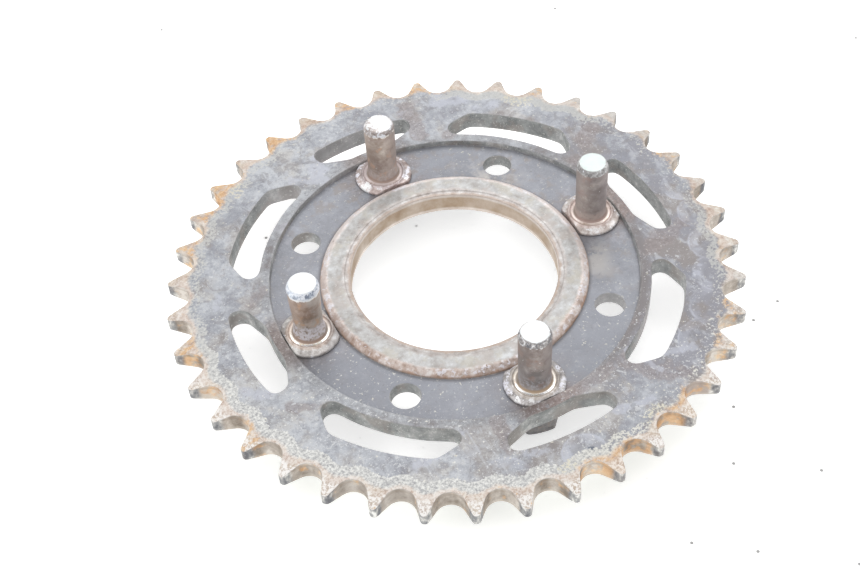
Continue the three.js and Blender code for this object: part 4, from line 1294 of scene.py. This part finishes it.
    # chips of white paint, at the places that catch the eye
    chips = None
    for cs, cf, size in (((-8.0, -1.0, 1.6), (7.9, 1.4, 1.2)), ((-5.4, 5.4, 2.9), (6.6, 2.2, 1.8), (-8.0, 0.0, 1.4)), ((-7.9, 1.2, 1.8), (7.5, -2.5, 1.5)),
                         ((-7.6, 0.2, 2.0), (-7.2, 3.2, 1.6), (0.4, 8.0, 1.8), (7.0, 2.6, 1.8), (6.4, -3.6, 1.7)))[k]:
        qx, qy = px + cs * math.cos(24.6 * RAD) - cf * math.sin(24.6 * RAD), py - cs * math.sin(24.6 * RAD) - cf * math.cos(24.6 * RAD)
        one = m.spot(qx, qy, size * 0.3, size, m.mul(m.sub(n2, 0.5), 2.5))
        chips = one if chips is None else m.maxi(chips, one)
    chips = m.step(m.add(m.blend((n2, 0.9), (n3, 0.9)), m.mul(chips, (0.20, 0.30, 0.22, 0.20)[k])), 0.64, 0.76)
    bevel = m.mix(m.mul(chips, 0.9), bevel, lit(((232, 232, 236), (240, 240, 248), (228, 228, 236), (222, 222, 232))[k], 1.15))
    ridge = m.tones(m.blend((n1, 1.0), (n2, 0.6)), [[(168, 150, 143), (184, 167, 160), (200, 185, 179), (212, 200, 195), (228, 220, 216)],
                                                      [(146, 132, 129), (162, 148, 146), (178, 166, 165), (191, 182, 182), (208, 203, 205)],
                                                      [(156, 138, 127), (176, 159, 149), (196, 182, 172), (210, 199, 192), (228, 221, 217)],
                                                      [(156, 147, 139), (173, 165, 158), (190, 183, 177), (204, 199, 195), (222, 219, 217)]][k], 1.15)
    groove = m.mix(m.step(n1, 0.40, 0.60), ridge, lit(((192, 170, 163), (172, 158, 157), (184, 162, 148), (184, 172, 158))[k], 1.15))
    lip_highlight_tones = m.tones(m.blend((n1, 1.0), (n2, 0.5)), [(206, 190, 172), (226, 214, 200), (243, 236, 226), (252, 249, 243), (255, 254, 251)], 1.10)
    fillet = m.mix(m.step(m.add(front, m.mul(m.sub(n1, 0.5), 0.8)), -0.2, 0.7), lit((160, 148, 138), 0.95), lit(((140, 122, 116), (128, 112, 104), (134, 116, 106), (142, 124, 106))[k], 0.85))
    dw = m.add(d, m.mul(m.sub(n1, 0.5), 0.5))
    collar = m.mix(m.mul(m.step(dw, 7.0, 6.6), m.sub(1.0, m.mul(chips, 0.8))), bevel, ridge)
    collar = m.mix(m.step(d, 6.12, 5.92), collar, groove)
    # painted highlight on the polished line, strongest on the side towards the camera
    lip_highlight_front = m.mul(m.step(m.add(front, m.mul(m.sub(n1, 0.5), 0.6)), -0.5, 0.6, 0.25, 1.0), (0.45, 0.15, 1.0, 1.0)[k])
    lip_highlight = m.mul(m.mul(m.step(d, 4.86, 5.06), m.step(m.sub(d, m.mul(m.step(front, 0.2, 1.0), 0.22)), 5.62, 5.42)), lip_highlight_front)
    collar = m.mix(lip_highlight, collar, lip_highlight_tones)
    collar = m.mix(m.step(d, 5.0, 4.84), collar, fillet)
    # painted light: the near side of each collar, which the pin shades from the key light, is made brighter
    collar = m.gain(collar, m.add(1.0, m.mul(m.step(front, 0.0, 0.8), (0.38, 0.62, 0.42, 0.50)[k])))
    if k == 2:
        collar = m.mix(m.mul(m.step(side, 0.7, 1.3), 0.45), collar, lit((158, 155, 156), 1.1))
    on_collar = m.mul(m.step(h, col_z - 0.1, col_z), m.step(m.add(h, m.mul(m.sub(n1, 0.5), 0.8)), col_z + 3.0, col_z + 2.2))
    col = m.mix(on_collar, col, collar)
    lipmask = m.mul(on_collar, lip_highlight)
    # tail: dark, oily
    tail = m.tones(m.blend((n1, 0.9), (n2, 0.9)), [(92, 88, 86), (106, 101, 98), (120, 114, 110), (136, 128, 120), (156, 146, 136)], SIDE)
    col = m.mix(m.step(h, 0.0, -1.0), col, tail)
    m.put(m.bsdf.inputs["Base Color"], col)
    top = m.step(h, PIN_TOP - 1.0, PIN_TOP - 0.5)
    rough = m.sub(m.add(0.42, m.mul(n2, 0.22)), m.maxi(m.mul(top, 0.06), m.mul(lipmask, 0.26)), clamp=True)
    m.put(m.bsdf.inputs["Roughness"], rough)
    m.put(m.bsdf.inputs["Metallic"], m.add(m.sub(0.40, m.mul(m.step(n2, 0.5, 0.7), 0.25)), m.mul(lipmask, 0.45), clamp=True))
    m.put(m.bsdf.inputs["Normal"], m.bump(m.add(m.mul(n2, 0.7), m.mul(n3, 0.4)), 0.5, 0.12))
    return m.mat


def fastener_material(name, tones, seed, rusty=(150, 128, 112), grime=(100, 94, 90)):
    m = Nodes(name)
    n1 = m.noise(0.3, 5, 0.6, seed)
    n2 = m.noise(1.0, 5, 0.65, seed + 1)
    n3 = m.noise(2.8, 4, 0.7, seed + 2)
    col = m.tones(m.blend((n1, 0.9), (n2, 0.7)), tones, SIDE)
    col = m.mix(m.mul(m.step(m.blend((n2, 1.2), (n1, 0.5)), 0.55, 0.70), 0.7), col, lit(rusty, SIDE))
    col = m.mix(m.mul(m.step(m.noise(0.55, 4, 0.6, seed + 3), 0.54, 0.68), 0.75), col, lit(grime, SIDE))
    col = m.mix(m.mul(m.step(n3, 0.62, 0.72), 0.6), col, lit((196, 194, 190), SIDE))
    m.put(m.bsdf.inputs["Base Color"], col)
    m.put(m.bsdf.inputs["Roughness"], m.add(0.36, m.mul(n2, 0.35), clamp=True))
    m.put(m.bsdf.inputs["Metallic"], m.sub(0.6, m.mul(m.step(n2, 0.5, 0.68), 0.3), clamp=True))
    m.put(m.bsdf.inputs["Normal"], m.bump(m.add(m.mul(n2, 0.6), m.mul(n3, 0.4)), 0.45, 0.10))
    return m.mat


def floor_material():
    m = Nodes("pale_table")
    n1 = m.noise(0.02, 4, 0.6, 1)
    n2 = m.noise(0.9, 3, 0.6, 2)
    col = m.mix(m.mul(n1, 0.5), srgb(244, 244, 243), srgb(238, 238, 237))
    dots = m.mul(m.step(m.cells(0.035, 3), 0.022, 0.012), m.step(m.noise(0.01, 2, 0.5, 4), 0.45, 0.5))
    dots = m.maxi(dots, m.mul(m.step(m.cells(0.09, 5), 0.030, 0.012), 0.45))
    col = m.mix(m.mul(dots, 0.85), col, srgb(96, 94, 92))
    hair = m.scaled(m.pos, (1.0, 0.03, 1.0))
    hair = m.mul(m.step(m.noise(0.5, 2, 0.5, 6, vec=hair), 0.71, 0.73), m.step(n1, 0.50, 0.60))
    col = m.mix(m.mul(hair, 0.18), col, srgb(190, 190, 188))
    # painted contact shadow: a slightly darker, greyer ring on the table just outside the near teeth, which also glows
    # less
    fx, fy, fz = m.split(m.pos)
    px, py = m.sub(fx, 0.0053), m.sub(fy, 0.0116)
    fr = m.mul(m.math("SQRT", m.add(m.mul(px, px), m.mul(py, py))), 1000.0)
    aside = m.add(m.mul(fx, -416.3), m.mul(fy, -909.2))
    painted_contact_shadow = m.mul(m.mul(m.step(fr, 92.0, 82.0), m.step(fr, 71.0, 75.0)), m.step(aside, 15.0, 60.0))
    col = m.mix(painted_contact_shadow, col, srgb(234, 236, 228))
    glow = m.sub(m.sub(0.52, m.mul(painted_contact_shadow, 0.07)), m.mul(dots, 0.40))
    m.put(m.bsdf.inputs["Base Color"], col)
    m.bsdf.inputs["Roughness"].default_value = 0.55
    # the table is lit through from behind, so what lies on it hardly throws a shadow
    m.bsdf.inputs["Emission Color"].default_value = (0.985, 0.995, 1.0, 1.0)
    m.put(m.bsdf.inputs["Emission Strength"], glow)
    return m.mat


# ---------------------------------------------------------------------------
# build
# ---------------------------------------------------------------------------
verts, faces, edge = build_plate()
plate = make_object("sprocket_plate_fine", verts, faces, edge, sharp=38, roughen=plate_rough, marks=plate_marks())
finish_piece(plate, "sprocket_plate", plate_material())

washer_mat = fastener_material("washer_steel_dull", [(118, 117, 118), (132, 131, 131), (146, 145, 144), (160, 158, 156), (178, 176, 173)], 31)
spring_mat = fastener_material("spring_steel_dull", [(100, 98, 98), (113, 111, 110), (127, 124, 122), (141, 138, 135), (160, 156, 152)], 47)
nut_mat = fastener_material("nut_steel_grimy", [(100, 98, 100), (114, 112, 113), (128, 126, 126), (142, 139, 138), (162, 158, 155)], 59, (134, 122, 112), (96, 93, 93))
for k in range(4):
    finish_piece(build_pin(k), f"drive_pin_{k + 1}", pin_material(k))
    finish_piece(build_washer(k), f"plain_washer_{k + 1}", washer_mat)
    finish_piece(build_spring(k), f"spring_washer_{k + 1}", spring_mat)
    finish_piece(build_nut(k), f"hex_nut_{k + 1}", nut_mat)

# ---------------------------------------------------------------------------
# floor, light, camera
# ---------------------------------------------------------------------------
fm = bpy.data.meshes.new("floor")
fm.from_pydata([(-3, -3, 0), (3, -3, 0), (3, 3, 0), (-3, 3, 0)], [], [(0, 1, 2, 3)])
floor = bpy.data.objects.new("floor", fm)
bpy.context.scene.collection.objects.link(floor)
fm.materials.append(floor_material())

world = bpy.data.worlds.new("studio")
world.use_nodes = True
world.node_tree.nodes["Background"].inputs[0].default_value = (1.0, 1.0, 1.0, 1.0)
world.node_tree.nodes["Background"].inputs[1].default_value = 0.85
bpy.context.scene.world = world

SPIN = -24.6 * RAD                       # the camera's frame against the part's


def spun(v):
    c, s = math.cos(SPIN), math.sin(SPIN)
    return Vector((v[0] * c - v[1] * s, v[0] * s + v[1] * c, v[2]))


def area(name, pos, target, size, power):
    d = bpy.data.lights.new(name, "AREA")
    d.shape, d.size, d.energy = "SQUARE", size, power
    ob = bpy.data.objects.new(name, d)
    bpy.context.scene.collection.objects.link(ob)
    p = spun(pos)
    ob.location = p
    ob.rotation_euler = (spun(target) - p).to_track_quat("-Z", "Y").to_euler()


area("key_behind", (0.15, 0.75, 0.95), (0, 0, 0.015), 0.9, 6.5)
area("fill_left", (-0.8, -0.2, 0.6), (0, 0, 0.015), 0.6, 1.5)

el, ro = 48.844 * RAD, -4.091 * RAD
focal, shift_t = 1509.126, (6.945, -3.055, 428.042)
se, ce, sr, cr = math.sin(el), math.cos(el), math.sin(ro), math.cos(ro)
R = np.array([[cr, -sr, 0], [sr, cr, 0], [0, 0, 1]]) @ np.array([[1, 0, 0], [0, -se, -ce], [0, ce, -se]])
where = -R.T @ np.array(shift_t)
right, up, backward = spun(R[0]), spun(-R[1]), spun(-R[2])
cam_data = bpy.data.cameras.new("camera")
cam_data.lens, cam_data.sensor_width, cam_data.sensor_fit = focal / 860 * 36, 36, "HORIZONTAL"
cam_data.clip_start, cam_data.clip_end = 0.01, 20
cam = bpy.data.objects.new("camera", cam_data)
bpy.context.scene.collection.objects.link(cam)
loc = spun(where) * MM + Vector((0, 0, Z0 * MM))
cam.matrix_world = Matrix(((right.x, up.x, backward.x, loc.x), (right.y, up.y, backward.y, loc.y),
                           (right.z, up.z, backward.z, loc.z), (0, 0, 0, 1)))
bpy.context.scene.camera = cam
bpy.context.scene.view_settings.view_transform = "Standard"

bpy.context.view_layer.update()
